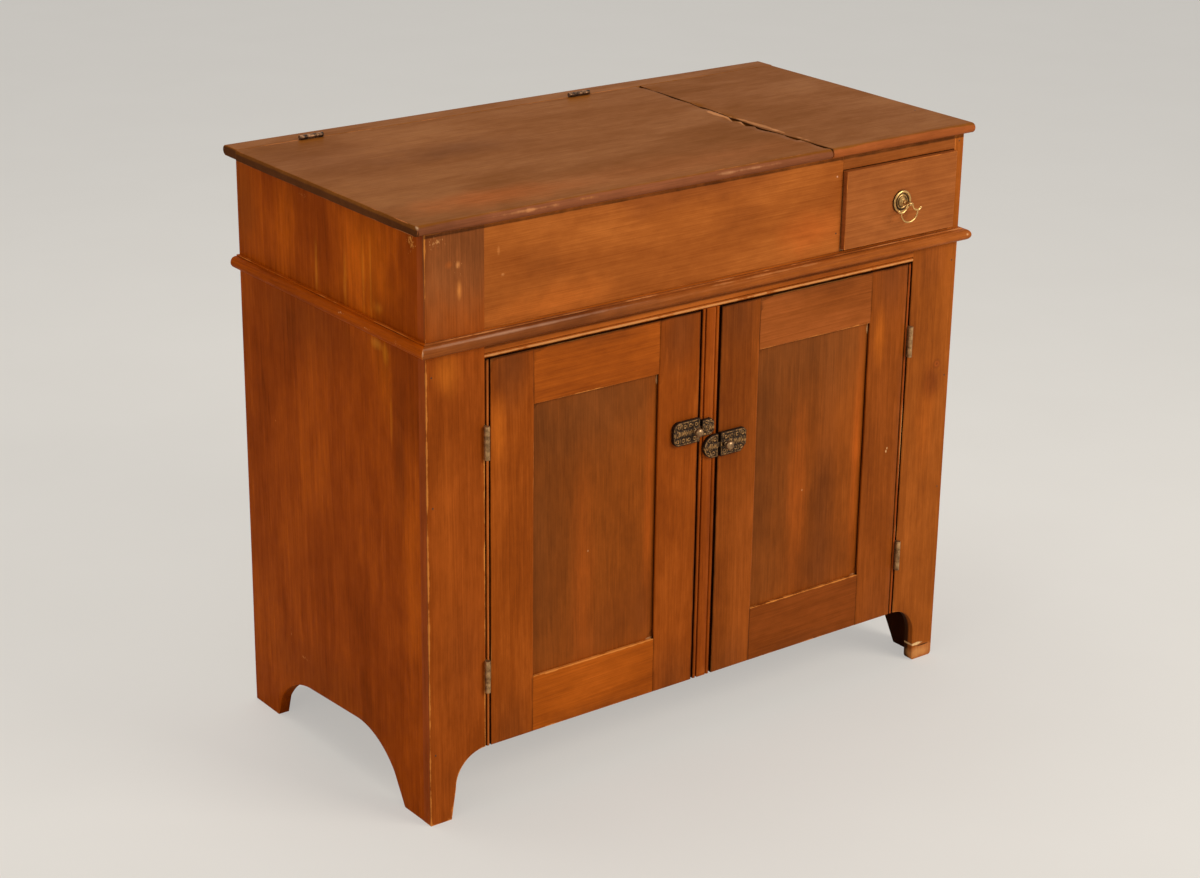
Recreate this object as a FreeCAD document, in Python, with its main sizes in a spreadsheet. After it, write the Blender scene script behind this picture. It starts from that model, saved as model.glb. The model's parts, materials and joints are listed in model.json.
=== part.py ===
"""Dry sink cabinet: a lift-top pine cupboard on bracket feet, with a well under a hinged lid, one small
drawer beside it, and two framed doors below, each with butt hinges and a slide latch.

Millimetres, +Z up. The origin is on the floor, at the middle of the cabinet's overall width and depth.
The cabinet faces -Y. Every place below is reckoned from the carcass's left front corner on the floor
(x to the right, y back from the face of the front frame, z up), and place() moves it to the origin.
"""
import FreeCAD, Part

import math
import os
import re

import Sketcher

# Driving sizes: alias, value, what it is.
SIZES = (
    # carcass
    ("carcass_width", 1016.0, "outside faces of the two sides"),
    ("carcass_depth", 518.0, "face of the front frame to the back"),
    ("carcass_height", 911.0, "floor to the underside of the top"),
    ("side_thickness", 19.0, "side boards and the well divider"),
    ("frame_thickness", 19.0, "stiles and rails of the front frame"),
    ("back_thickness", 12.0, "upright back boards"),
    ("back_board_count", 5.0, "upright back boards side by side"),
    ("back_board_gap", 1.0, "seam between back boards"),
    ("back_clear_of_floor", 12.0, "lower ends of the back boards"),
    ("rabbet_width", 10.0, "rabbet in each side for the back boards"),
    ("housing_depth", 6.0, "housings in the sides for the deck, shelf and floor"),
    ("deck_thickness", 18.0, "board under the well and the drawer"),
    ("well_height", 153.0, "top of the deck to the underside of the top"),
    ("floor_thickness", 18.0, "cupboard floor board"),
    ("floor_above_opening", 1.0, "cupboard floor's underside above the door opening's bottom"),
    ("shelf_thickness", 16.0, "cupboard shelf"),
    ("shelf_drop", 314.0, "top of the door opening to the underside of the shelf"),
    ("shelf_setback", 60.0, "front edge of the shelf"),
    # front frame
    ("left_stile_width", 98.5, "left front stile"),
    ("right_stile_width", 95.0, "right front stile"),
    ("centre_stile_width", 33.0, "stile between the doors"),
    ("opening_bottom", 103.0, "bottom of the door opening"),
    ("rail_height", 44.0, "beaded rail, from the top of the door opening to the top of the deck"),
    ("bead_width", 6.4, "bead on the centre stile, the rail and the doors' hinge edges"),
    ("quirk_width", 1.6, "groove beside each bead"),
    ("quirk_undercut", 0.8, "groove deeper than the bead's middle"),
    ("foot_width", 45.0, "front foot at the top of its straight edge"),
    ("left_foot_taper", 8.0, "left front foot, narrower at the floor"),
    ("right_foot_taper", 1.0, "right front foot, narrower at the floor"),
    # arch cut in each side
    ("arch_front_foot", 72.0, "arch starts at the floor, from the front face"),
    ("arch_front_knee_y", 100.0, "end of the slanted edge of the front foot"),
    ("arch_front_knee_z", 48.0, "height of that end"),
    ("arch_front_crown_y", 200.0, "front end of the arch's flat top"),
    ("arch_front_crown_z", 96.0, "height there"),
    ("arch_rear_foot", 72.0, "rear foot's width at the floor"),
    ("arch_rear_knee_y", 82.0, "end of the slanted edge of the rear foot, from the back"),
    ("arch_rear_knee_z", 33.0, "height of that end"),
    ("arch_rear_crown_y", 183.0, "rear end of the arch's flat top, from the back"),
    ("arch_rear_crown_z", 88.0, "height there"),
    # waist moulding
    ("waist_drop", 23.0, "moulding's underside below the top of the deck"),
    ("waist_height", 20.5, "moulding from its underside to the fillet's top"),
    ("waist_projection", 16.0, "moulding's nose out of the carcass"),
    ("waist_nose_radius", 9.0, "round nose"),
    ("waist_fillet_width", 5.0, "flat fillet against the carcass, above the nose"),
    ("waist_fillet_step", 2.0, "fillet's top above the nose"),
    # top
    ("top_thickness", 16.0, "rear rail and fixed top board"),
    ("top_overhang_front", 12.0, "lid and fixed top past the front frame"),
    ("lid_overhang_left", 18.0, "lid past the left side"),
    ("top_overhang_right", 13.0, "fixed top past the right side"),
    ("rail_overhang_ends", 15.0, "rear rail past the sides"),
    ("rail_overhang_rear", 11.0, "rear rail past the back"),
    ("rail_width", 43.0, "rear rail, front to back"),
    ("lid_right_edge", 730.0, "lid's right edge"),
    ("lid_split_gap", 2.5, "split between the lid and the fixed top"),
    ("lid_rest_gap", 0.4, "lid over what it rests on"),
    ("lid_rear_gap", 1.0, "joint between the lid and the rear rail"),
    # drawer
    ("drawer_opening_left", 762.5, "left edge of the drawer opening"),
    ("lintel_height", 23.5, "rail over the drawer opening"),
    ("drawer_ajar", 8.5, "how far the drawer stands out at rest"),
    ("drawer_side_gap", 1.5, "drawer front to the opening, left and right"),
    ("drawer_top_gap", 1.5, "drawer front to the rail above"),
    ("drawer_bottom_gap", 4.0, "drawer front to the deck"),
    ("drawer_running_gap", 0.5, "drawer sides over the deck"),
    ("drawer_rear_room", 66.0, "closed drawer to the back boards"),
    ("drawer_front_thickness", 19.0, "drawer front"),
    ("drawer_side_thickness", 11.0, "drawer sides and back"),
    ("drawer_side_headroom", 28.0, "drawer sides below the top of the opening"),
    ("drawer_bottom_thickness", 6.0, "drawer bottom"),
    ("drawer_bottom_lift", 8.0, "drawer bottom above the sides' lower edges"),
    ("drawer_groove_depth", 4.0, "groove for the drawer bottom"),
    ("drawer_lap", 9.0, "how far the sides are let into the front"),
    ("drawer_stop_depth", 18.0, "stop block behind the drawer, front to back"),
    ("drawer_stop_height", 17.0, "stop block's height"),
    # drawer pull
    ("rosette_radius", 18.5, "pull's backplate"),
    ("rosette_thickness", 4.0, "backplate at its raised rim"),
    ("rosette_rim_width", 4.5, "backplate's raised rim"),
    ("rosette_rim_slope", 1.0, "inner slope of the raised rim"),
    ("rosette_boss_radius", 7.0, "boss at the foot of the post"),
    ("rosette_boss_height", 1.0, "boss above the rim"),
    ("rosette_boss_slope", 2.0, "boss widens below and narrows above by this"),
    ("pull_drop", 2.0, "pull below the middle of the drawer front"),
    ("post_radius", 2.6, "pull's post"),
    ("post_reach", 19.5, "drawer face to the bail's pivot"),
    ("pull_eye_radius", 3.4, "round eye at the post's end"),
    ("post_tail_radius", 2.2, "threaded tail through the drawer front"),
    ("post_hole_gap", 0.2, "tail in its hole"),
    ("pull_nut_radius", 5.5, "nut inside the drawer"),
    ("pull_nut_thickness", 3.5, "nut inside the drawer"),
    ("bail_wire_radius", 1.5, "bail"),
    ("bail_running_gap", 0.05, "bail's pin in the post, all round"),
    ("bail_side_gap", 0.4, "post's eye to each arm of the bail"),
    ("bail_shoulder_radius", 12.0, "each curled shoulder"),
    ("bail_curl", 28.0, "how many degrees each shoulder curls past the loop"),
    ("bail_cusp_radius", 2.4, "ball at the end of each shoulder"),
    # doors
    ("door_hinge_gap", 2.0, "door to stile at the hinges"),
    ("door_latch_gap", 4.0, "door to centre stile"),
    ("door_top_gap", 2.0, "door to rail"),
    ("door_stop_gap", 0.5, "back of the door to the cupboard floor's edge"),
    ("door_hinge_stile", 83.5, "door stile on the hinge side, bead included"),
    ("door_latch_stile", 76.5, "door stile on the latch side"),
    ("door_top_rail", 84.0, "door's top rail"),
    ("door_bottom_rail", 91.0, "door's bottom rail"),
    ("panel_thickness", 8.0, "door panel"),
    ("panel_recess", 5.5, "panel's face behind the door's face"),
    ("panel_groove_depth", 8.0, "groove round the panel"),
    ("panel_groove_slack", 1.0, "panel's edge to the groove's bottom"),
    ("tenon_length", 45.0, "door rails into the stiles"),
    ("tenon_shoulder", 12.0, "rail's width less its tenon, each edge"),
    # door hinges
    ("hinge_length", 51.0, "door hinge"),
    ("hinge_middle_knuckle", 20.0, "the door leaf's knuckle"),
    ("hinge_barrel_radius", 4.25, "door hinge barrel"),
    ("hinge_leaf_width", 16.0, "door hinge leaf, into the wood"),
    ("hinge_pin_radius", 1.5, "pin of every hinge"),
    ("left_upper_hinge_drop", 126.0, "left door's upper hinge, middle, below the door opening's top"),
    ("left_lower_hinge_rise", 117.0, "left door's lower hinge, middle, above the door opening's bottom"),
    ("right_upper_hinge_drop", 132.0, "right door's upper hinge, middle, below the door opening's top"),
    ("right_lower_hinge_rise", 106.0, "right door's lower hinge, middle, above the door opening's bottom"),
    # lid hinges
    ("lid_hinge_length", 41.0, "lid hinge"),
    ("lid_hinge_knuckle", 15.0, "the lid leaf's knuckle"),
    ("lid_barrel_radius", 3.5, "lid hinge barrel"),
    ("lid_leaf_width", 13.0, "lid hinge leaf, into the wood"),
    ("lid_hinge_left", 113.0, "left lid hinge, middle"),
    ("lid_hinge_right", 618.0, "right lid hinge, middle"),
    # fits shared by all hinges
    ("barrel_gap", 0.3, "barrel to the wood's face, and between knuckles"),
    ("pin_running_gap", 0.05, "pin in the moving knuckle, all round"),
    ("leaf_thickness", 1.4, "hinge leaf"),
    ("leaf_parting", 0.4, "each leaf's face from the middle of the joint"),
    # latches
    ("left_latch_drop", 189.0, "left latch's bolt below the door opening's top"),
    ("right_latch_drop", 222.5, "right latch's bolt below the door opening's top"),
    ("latch_case_length", 50.5, "case along the bolt"),
    ("latch_case_height", 38.0, "case"),
    ("latch_case_thickness", 6.0, "case and keeper off the wood"),
    ("latch_case_setback", 0.5, "case from the door's edge"),
    ("latch_corner", 11.0, "corners of the case's far end"),
    ("latch_wall", 2.0, "case's face over the bolt"),
    ("latch_slide_gap", 0.4, "bolt in its case and keeper"),
    ("bolt_height", 8.0, "bolt"),
    ("bolt_length", 36.0, "bolt"),
    ("bolt_throw", 4.5, "bolt's travel into the keeper"),
    ("bolt_clear_of_keeper", 0.5, "drawn bolt's tip to the keeper"),
    ("knob_from_tip", 14.0, "knob's middle to the bolt's tip"),
    ("knob_neck_radius", 2.0, "neck through the slot"),
    ("knob_neck_reach", 13.0, "door's face to the back of the knob"),
    ("knob_radius", 7.2, "knob"),
    ("knob_thickness", 8.5, "knob"),
    ("knob_crown", 1.0, "rise of the knob's domed end"),
    ("keeper_setback", 0.5, "keeper from the centre stile's edge"),
    ("keeper_pocket_depth", 10.0, "pocket for the bolt in each keeper"),
    ("left_keeper_width", 23.0, "left keeper"),
    ("left_keeper_top", 14.0, "left keeper's upper edge above its bolt"),
    ("left_keeper_bottom", 12.0, "left keeper's lower edge below its bolt"),
    ("right_keeper_width", 27.5, "right keeper"),
    ("right_keeper_half", 18.5, "half the right keeper's height"),
    ("keeper_corner", 6.0, "left keeper's clipped corners"),
    # fasteners
    ("screw_head_radius", 2.8, "hinge and latch screws"),
    ("screw_shank_radius", 1.2, "hinge and latch screws"),
    ("screw_length", 12.0, "hinge screws"),
    ("hinge_screw_inset", 9.5, "hinge screws from the ends of the leaf"),
    ("hinge_screw_depth", 8.0, "hinge screws from the barrel"),
    ("latch_screw_length", 12.0, "latch screws, into the wood"),
    ("latch_screw_inset", 4.5, "latch screws from the edges of the case and keeper"),
    ("latch_screw_head", 1.2, "latch screw's head off the case"),
    ("nail_radius", 1.4, "cut nails"),
    ("nail_length", 42.0, "cut nails"),
    ("nail_edge", 12.0, "frame nails from the ends of a joint"),
    # cutting shapes
    ("tool_overrun", 1.0, "cutting shapes past the face that they leave"),
)

# Places worked out from the sizes, each a sum that the document recomputes.
PLACES = {
    "pull_front": "drawer_ajar + post_reach + pull_eye_radius",
    "bail_pin_half": "pull_eye_radius + bail_side_gap + bail_wire_radius",
    "front_face_y": "-(carcass_depth + rail_overhang_rear - pull_front) / 2",
    "deck_height": "carcass_height - well_height",
    "opening_top": "deck_height - rail_height",
    "shelf_height": "opening_top - shelf_drop",
    "waist_bottom": "deck_height - waist_drop",
    "drawer_opening_top": "carcass_height - lintel_height",
    "hinge_left_upper": "opening_top - left_upper_hinge_drop",
    "hinge_left_lower": "opening_bottom + left_lower_hinge_rise",
    "hinge_right_upper": "opening_top - right_upper_hinge_drop",
    "hinge_right_lower": "opening_bottom + right_lower_hinge_rise",
    "latch_left_height": "opening_top - left_latch_drop",
    "latch_right_height": "opening_top - right_latch_drop",
    "right_inner": "carcass_width - side_thickness",
    "back_inner_y": "carcass_depth - back_thickness",
    "rail_front_y": "carcass_depth + rail_overhang_rear - rail_width",
    "quirk_depth": "bead_width / 2 + quirk_undercut",
    "top_surface": "carcass_height + top_thickness",
    "lid_rear_y": "rail_front_y - lid_rear_gap",
    "fixed_left": "lid_right_edge + lid_split_gap",
    "divider_left": "drawer_opening_left - side_thickness",
    "floor_bottom": "opening_bottom + floor_above_opening",
    "opening_left": "left_stile_width",
    "opening_right": "carcass_width - right_stile_width",
    "centre_left": "(opening_left + opening_right - centre_stile_width) / 2",
    "centre_right": "centre_left + centre_stile_width",
    "left_arc": "left_stile_width - foot_width",
    "right_arc": "right_stile_width - foot_width",
    "door_top": "opening_top - door_top_gap",
    "door_height": "door_top - opening_bottom",
    "door_thickness": "frame_thickness - door_stop_gap",
    "left_door_outer": "opening_left + door_hinge_gap",
    "left_door_inner": "centre_left - door_latch_gap",
    "right_door_outer": "opening_right - door_hinge_gap",
    "right_door_inner": "centre_right + door_latch_gap",
    "left_pivot_x": "opening_left + door_hinge_gap / 2",
    "right_pivot_x": "opening_right - door_hinge_gap / 2",
    "pivot_y": "-(hinge_barrel_radius + barrel_gap)",
    "lid_pivot_y": "rail_front_y - lid_rear_gap / 2",
    "lid_pivot_z": "top_surface + lid_barrel_radius + barrel_gap",
    "drawer_face_y": "-drawer_ajar",
    "drawer_length": "back_inner_y - drawer_rear_room",
    "drawer_side_height": "drawer_opening_top - drawer_side_headroom - drawer_low",
    "drawer_back_y": "drawer_length - drawer_ajar",
    "drawer_left": "drawer_opening_left + drawer_side_gap",
    "drawer_right": "right_inner - drawer_side_gap",
    "drawer_low": "deck_height + drawer_running_gap",
    "drawer_top": "drawer_opening_top - drawer_top_gap",
    "drawer_front_low": "deck_height + drawer_bottom_gap",
    "drawer_frame_y": "drawer_face_y + drawer_front_thickness",
    "drawer_bottom_z": "drawer_low + drawer_bottom_lift",
    "pull_x": "(drawer_left + drawer_right) / 2",
    "pull_z": "(drawer_front_low + drawer_top) / 2 - pull_drop",
    "pull_pivot_y": "drawer_face_y - post_reach",
    "left_case_end": "left_door_inner - latch_case_setback",
    "right_case_end": "right_door_inner + latch_case_setback",
    "left_keeper_x": "centre_left + keeper_setback",
    "right_keeper_x": "centre_right - keeper_setback",
    "bolt_back_y": "-latch_slide_gap",
    "bolt_front_y": "latch_wall + latch_slide_gap - latch_case_thickness",
    "leaf_outer": "leaf_parting + leaf_thickness",
}

doc = FreeCAD.newDocument("dry_sink")
sheet = doc.addObject("Spreadsheet::Sheet", "Sizes")
for row, (alias, number, note) in enumerate(SIZES, start=1):
    sheet.set(f"A{row}", str(number))
    sheet.setAlias(f"A{row}", alias)
    sheet.set(f"B{row}", note)
doc.recompute()

ALIASES = {alias for alias, _, _ in SIZES}
PLANES = {"XY": "XY_Plane", "XZ": "XZ_Plane", "YZ": "YZ_Plane"}


def bind(text):
    """Spell a sum of named sizes and places the way the document's expressions want it."""
    def swap(match):
        word = match.group(0)
        if word in PLACES:
            return f"({bind(PLACES[word])})"
        return f"Sizes.{word}" if word in ALIASES else word
    return re.sub(r"[a-z_]{2,}", swap, str(text))


def value(text):
    """The number that a sum of named sizes comes to now."""
    return float(sheet.evalExpression(bind(text)))


def place(item, x, y, z):
    """Bind an object's own origin to a point of the carcass."""
    item.setExpression("Placement.Base.x", bind(f"({x}) - carcass_width / 2"))
    item.setExpression("Placement.Base.y", bind(f"({y}) + front_face_y"))
    item.setExpression("Placement.Base.z", bind(z))


def box(name, x, y, z):
    """A square-edged block between two limits along each axis."""
    item = doc.addObject("Part::Box", name)
    for side, (low, high) in zip(("Length", "Width", "Height"), (x, y, z)):
        item.setExpression(side, bind(f"({high}) - ({low})"))
    place(item, x[0], y[0], z[0])
    return item


TURNS = {
    "X": FreeCAD.Rotation(FreeCAD.Vector(0, 1, 0), 90),
    "Y": FreeCAD.Rotation(FreeCAD.Vector(1, 0, 0), -90),
    "-Y": FreeCAD.Rotation(FreeCAD.Vector(1, 0, 0), 90),
    "Z": FreeCAD.Rotation(),
    "-Z": FreeCAD.Rotation(FreeCAD.Vector(1, 0, 0), 180),
    "-X": FreeCAD.Rotation(FreeCAD.Vector(0, 1, 0), -90),
}


def rod(name, along, radius, length, at, top_radius=None):
    """A cylinder, or a cone where top_radius is given, that starts at a point and runs along an axis."""
    item = doc.addObject("Part::Cone" if top_radius else "Part::Cylinder", name)
    item.Placement = FreeCAD.Placement(FreeCAD.Vector(), TURNS[along])
    item.setExpression("Radius1" if top_radius else "Radius", bind(radius))
    if top_radius:
        item.setExpression("Radius2", bind(top_radius))
    item.setExpression("Height", bind(length))
    place(item, *at)
    return item


def ball(name, radius, at):
    item = doc.addObject("Part::Sphere", name)
    item.setExpression("Radius", bind(radius))
    place(item, *at)
    return item


def fuse(name, pieces):
    item = doc.addObject("Part::MultiFuse", name)
    item.Shapes = pieces
    return item


def cut(name, base, tools):
    """The base less every tool."""
    item = doc.addObject("Part::Cut", name)
    item.Base = base
    item.Tool = tools[0] if len(tools) == 1 else fuse(f"{name}_cuts", tools)
    return item


def group(name, pieces):
    item = doc.addObject("Part::Compound", name)
    item.Links = pieces
    return item


def outline(body, name, plane, points):
    """A closed sketch on one of the body's own planes.

    Each point is (across, up) for a straight edge to it, or (across, up, centre, sum, turn) for a round
    edge to it, whose centre's "x" or "y" is that sum and which turns "left" or "right" on the way.
    """
    sketch = body.newObject("Sketcher::SketchObject", name)
    origin = [item for item in body.Origin.OriginFeatures if item.Role == PLANES[plane]][0]
    sketch.AttachmentSupport = (origin, [""])
    sketch.MapMode = "FlatFace"
    corners = [FreeCAD.Vector(value(point[0]), value(point[1]), 0) for point in points]
    ends = []
    for index, point in enumerate(points):
        start, stop = corners[index - 1], corners[index]
        if len(point) == 2:
            edge = sketch.addGeometry(Part.LineSegment(start, stop), False)
            ends.append((edge, 1, 2))
            continue
        _, _, letter, reckoned, turn = point
        centre = arc_centre(start, stop, letter, value(reckoned))
        radius = (start - centre).Length
        angles = [math.atan2(end.y - centre.y, end.x - centre.x) for end in (start, stop)]
        if turn == "right":
            angles.reverse()
        circle = Part.Circle(centre, FreeCAD.Vector(0, 0, 1), radius)
        edge = sketch.addGeometry(Part.ArcOfCircle(circle, *angles), False)
        ends.append((edge, 1, 2) if turn == "left" else (edge, 2, 1))
        kind = "DistanceX" if letter == "x" else "DistanceY"
        measure(sketch, kind, (edge, 3), reckoned)
    for index, (edge, first, last) in enumerate(ends):
        after, after_first, _ = ends[(index + 1) % len(ends)]
        sketch.addConstraint(Sketcher.Constraint("Coincident", edge, last, after, after_first))
        measure(sketch, "DistanceX", (edge, last), points[index][0])
        measure(sketch, "DistanceY", (edge, last), points[index][1])
    return sketch


def arc_centre(start, stop, letter, known):
    """The centre as far from one end as from the other, one of whose coordinates is known."""
    middle, step = (start + stop) * 0.5, stop - start
    if letter == "x":
        return FreeCAD.Vector(known, middle.y - (known - middle.x) * step.x / step.y, 0)
    return FreeCAD.Vector(middle.x - (known - middle.y) * step.y / step.x, known, 0)


def measure(sketch, kind, point, text):
    """Bind a point's distance from the sketch's origin."""
    index = sketch.addConstraint(Sketcher.Constraint(kind, -1, 1, *point, value(text)))
    sketch.setExpression(f"Constraints[{index}]", bind(text))


def padded(name, plane, points, length, at, backwards=False):
    """A body made by padding one outline."""
    body = doc.addObject("PartDesign::Body", name)
    sketch = outline(body, f"{name}_sketch", plane, points)
    pad = body.newObject("PartDesign::Pad", f"{name}_pad")
    pad.Profile = sketch
    pad.setExpression("Length", bind(length))
    pad.Reversed = backwards
    place(body, *at)
    return body


def turned(name, points, along, at):
    """A body made by turning an outline of (radius, height) about its own axis."""
    body = doc.addObject("PartDesign::Body", name)
    sketch = outline(body, f"{name}_sketch", "XZ", points)
    turning = body.newObject("PartDesign::Revolution", f"{name}_turning")
    turning.Profile = sketch
    turning.ReferenceAxis = (sketch, ["V_Axis"])
    turning.Angle = 360
    body.Placement = FreeCAD.Placement(FreeCAD.Vector(), TURNS[along])
    place(body, *at)
    return body


NODES = []


def node(name, item):
    """Keep an object as a piece of the cabinet, under the piece's own name."""
    item.Label = name
    NODES.append(item)
    return item


def side_board(name, left):
    """A side, arched between its two feet, housed for the boards and rabbeted for the back."""
    rear = "carcass_depth"
    arch = (
        ("frame_thickness", "0"),
        ("arch_front_foot", "0"),
        ("arch_front_knee_y", "arch_front_knee_z"),
        ("arch_front_crown_y", "arch_front_crown_z", "x", "arch_front_crown_y", "right"),
        (f"{rear} - arch_rear_crown_y", "arch_rear_crown_z"),
        (f"{rear} - arch_rear_knee_y", "arch_rear_knee_z", "x", f"{rear} - arch_rear_crown_y", "right"),
        (f"{rear} - arch_rear_foot", "0"),
        (rear, "0"),
        (rear, "carcass_height"),
        ("frame_thickness", "carcass_height"),
    )
    outer = "0" if left else "right_inner"
    board = padded(f"{name}_board", "YZ", arch, "side_thickness", (outer, "0", "0"))
    if left:
        housing = ("side_thickness - housing_depth", "side_thickness + tool_overrun")
        rabbet = ("side_thickness - rabbet_width", "side_thickness + tool_overrun")
    else:
        housing = ("right_inner - tool_overrun", "right_inner + housing_depth")
        rabbet = ("right_inner - tool_overrun", "right_inner + rabbet_width")
    back = ("back_inner_y", "carcass_depth + tool_overrun")
    deck = ("frame_thickness - tool_overrun", "back_inner_y + tool_overrun")
    shelf = ("shelf_setback", "back_inner_y + tool_overrun")
    tools = [
        box(f"{name}_rabbet", rabbet, back, ("back_clear_of_floor", "carcass_height + tool_overrun")),
        box(f"{name}_deck_housing", housing, deck, ("deck_height - deck_thickness", "deck_height")),
        box(f"{name}_floor_housing", housing, deck, ("floor_bottom", "floor_bottom + floor_thickness")),
        box(f"{name}_shelf_housing", housing, shelf, ("shelf_height", "shelf_height + shelf_thickness")),
    ]
    return node(name, cut(name, board, tools))


def inner_boards():
    """Deck, cupboard floor and shelf, housed in the sides, and the divider between well and drawer."""
    across = ("side_thickness - housing_depth", "right_inner + housing_depth")
    deep = ("frame_thickness", "back_inner_y")
    deck = ("deck_height - deck_thickness", "deck_height")
    floor = ("floor_bottom", "floor_bottom + floor_thickness")
    shelf = ("shelf_height", "shelf_height + shelf_thickness")
    node("deck", box("deck", across, deep, deck))
    node("cupboard_floor", box("cupboard_floor", across, deep, floor))
    node("shelf", box("shelf", across, ("shelf_setback", "back_inner_y"), shelf))
    divider = ("divider_left", "drawer_opening_left")
    node("well_divider", box("well_divider", divider, deep, ("deck_height", "carcass_height")))


def back_boards():
    """Upright boards of one width side by side in the rabbets, as separate solids."""
    count = int(value("back_board_count"))
    first = "(side_thickness - rabbet_width)"
    pitch = f"((carcass_width - 2 * {first} + back_board_gap) / {count})"
    upright = ("back_clear_of_floor", "carcass_height")
    boards = []
    for index in range(count):
        left = f"{first} + {index} * {pitch}"
        across = (left, f"{left} + {pitch} - back_board_gap")
        boards.append(box(f"back_board_{index + 1}", across, ("back_inner_y", "carcass_depth"), upright))
    node("back_boards", group("back_boards", boards))


def mortises(name, hinge_heights, x):
    """Recesses for the hinge leaves in an upright edge."""
    deep = ("-tool_overrun", "hinge_leaf_width")
    return [
        box(f"{name}_{index}", x, deep, (f"{height} - hinge_length / 2", f"{height} + hinge_length / 2"))
        for index, height in enumerate(hinge_heights)
    ]


LEFT_HINGES = ("hinge_left_upper", "hinge_left_lower")
RIGHT_HINGES = ("hinge_right_upper", "hinge_right_lower")


def front_frame():
    """Outer stiles that end in bracket feet, the beaded rail and centre stile, and the boards above."""
    left = (
        ("left_stile_width", "carcass_height"),
        ("0", "carcass_height"),
        ("0", "0"),
        ("foot_width - left_foot_taper", "0"),
        ("foot_width", "opening_bottom - left_arc"),
        ("left_stile_width", "opening_bottom", "x", "left_stile_width", "right"),
    )
    board = padded("left_stile_board", "XZ", left, "frame_thickness", ("0", "frame_thickness", "0"))
    recess = ("left_pivot_x - leaf_outer", "left_stile_width + tool_overrun")
    node("left_stile", cut("left_stile", board, mortises("left_stile_mortise", LEFT_HINGES, recess)))

    right = (
        ("carcass_width", "0"),
        ("carcass_width", "carcass_height"),
        ("right_inner", "carcass_height"),
        ("right_inner", "deck_height"),
        ("opening_right", "deck_height"),
        ("opening_right", "opening_bottom"),
        ("carcass_width - foot_width", "opening_bottom - right_arc", "x", "opening_right", "right"),
        ("carcass_width - foot_width + right_foot_taper", "0"),
    )
    board = padded("right_stile_board", "XZ", right, "frame_thickness", ("0", "frame_thickness", "0"))
    recess = ("opening_right - tool_overrun", "right_pivot_x + leaf_outer")
    node("right_stile", cut("right_stile", board, mortises("right_stile_mortise", RIGHT_HINGES, recess)))

    rail = beaded_edge("frame_thickness", "deck_height - opening_top")
    length = "opening_right - opening_left"
    node("beaded_rail", padded("beaded_rail", "YZ", rail, length, ("opening_left", "0", "opening_top")))

    centre = both_edges_beaded("centre_stile_width", "frame_thickness")
    height = "opening_top - opening_bottom"
    foot = ("centre_left", "0", "opening_bottom")
    node("centre_stile", padded("centre_stile", "XY", centre, height, foot))

    face = ("0", "frame_thickness")
    upper = ("deck_height", "carcass_height")
    node("well_front", box("well_front", ("opening_left", "drawer_opening_left"), face, upper))
    lintel = ("drawer_opening_top", "carcass_height")
    node("drawer_lintel", box("drawer_lintel", ("drawer_opening_left", "right_inner"), face, lintel))


def beaded_edge(thickness, width):
    """Section of a board whose front lower edge has a bead with a quirk over it: depth back, then up."""
    quirk = "bead_width + quirk_width"
    return (
        ("0", quirk),
        ("quirk_depth", quirk),
        ("quirk_depth", "bead_width"),
        ("bead_width / 2", "bead_width"),
        ("bead_width / 2", "0", "x", "bead_width / 2", "left"),
        (thickness, "0"),
        (thickness, width),
        ("0", width),
    )


def both_edges_beaded(width, thickness):
    """Section of a stile with a bead and quirk on both front edges: across, then depth back."""
    quirk, radius = "(bead_width + quirk_width)", "(bead_width / 2)"
    return (
        (quirk, "0"),
        (quirk, "quirk_depth"),
        ("bead_width", "quirk_depth"),
        ("bead_width", radius),
        ("0", radius, "y", radius, "right"),
        ("0", thickness),
        (width, thickness),
        (width, radius),
        (f"{width} - bead_width", radius, "y", radius, "right"),
        (f"{width} - bead_width", "quirk_depth"),
        (f"{width} - {quirk}", "quirk_depth"),
        (f"{width} - {quirk}", "0"),
    )


def waist_moulding():
    """Round-nosed moulding with a flat fillet on top, mitred at the front corners."""
    def section(sign):
        """Across from the carcass face, then up; sign is the way out."""
        nose = "waist_height - waist_fillet_step"
        inner = f"{sign} * (waist_projection - waist_nose_radius)"
        step = f"{sign} * waist_fillet_width"
        turn = "left" if sign > 0 else "right"
        return (
            ("0", "0"),
            (inner, f"{nose} - 2 * waist_nose_radius"),
            (inner, nose, "x", inner, turn),
            (step, nose),
            (step, "waist_height"),
            ("0", "waist_height"),
        )

    reach = "(2 * waist_projection)"
    out = f"-{reach}"

    def mitre(name, angle, at):
        """A block turned so that one of its upright faces lies in the mitre's plane."""
        tool = box(name, (at[0], f"{at[0]} + 3 * {reach}"), (at[1], f"{at[1]} + 3 * {reach}"),
                   ("waist_bottom - tool_overrun", "waist_bottom + waist_height + tool_overrun"))
        about_z = FreeCAD.Rotation(FreeCAD.Vector(0, 0, 1), angle)
        tool.Placement = FreeCAD.Placement(FreeCAD.Vector(), about_z)
        return tool

    front = padded("waist_front_strip", "YZ", section(-1), "carcass_width + 2 * waist_projection",
                   ("-waist_projection", "0", "waist_bottom"))
    tools = [mitre("waist_front_mitre_left", 45, (out, out)),
             mitre("waist_front_mitre_right", -45, (f"carcass_width - {reach}", reach))]
    node("waist_moulding_front", cut("waist_moulding_front", front, tools))
    length = "carcass_depth + waist_projection"
    at = ("0", "-waist_projection", "waist_bottom")
    left = padded("waist_left_strip", "XZ", section(-1), length, at, True)
    tools = [mitre("waist_left_mitre", -135, (reach, reach))]
    node("waist_moulding_left", cut("waist_moulding_left", left, tools))
    at = ("carcass_width", "-waist_projection", "waist_bottom")
    right = padded("waist_right_strip", "XZ", section(1), length, at, True)
    tools = [mitre("waist_right_mitre", 135, (f"carcass_width + {reach}", out))]
    node("waist_moulding_right", cut("waist_moulding_right", right, tools))


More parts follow.
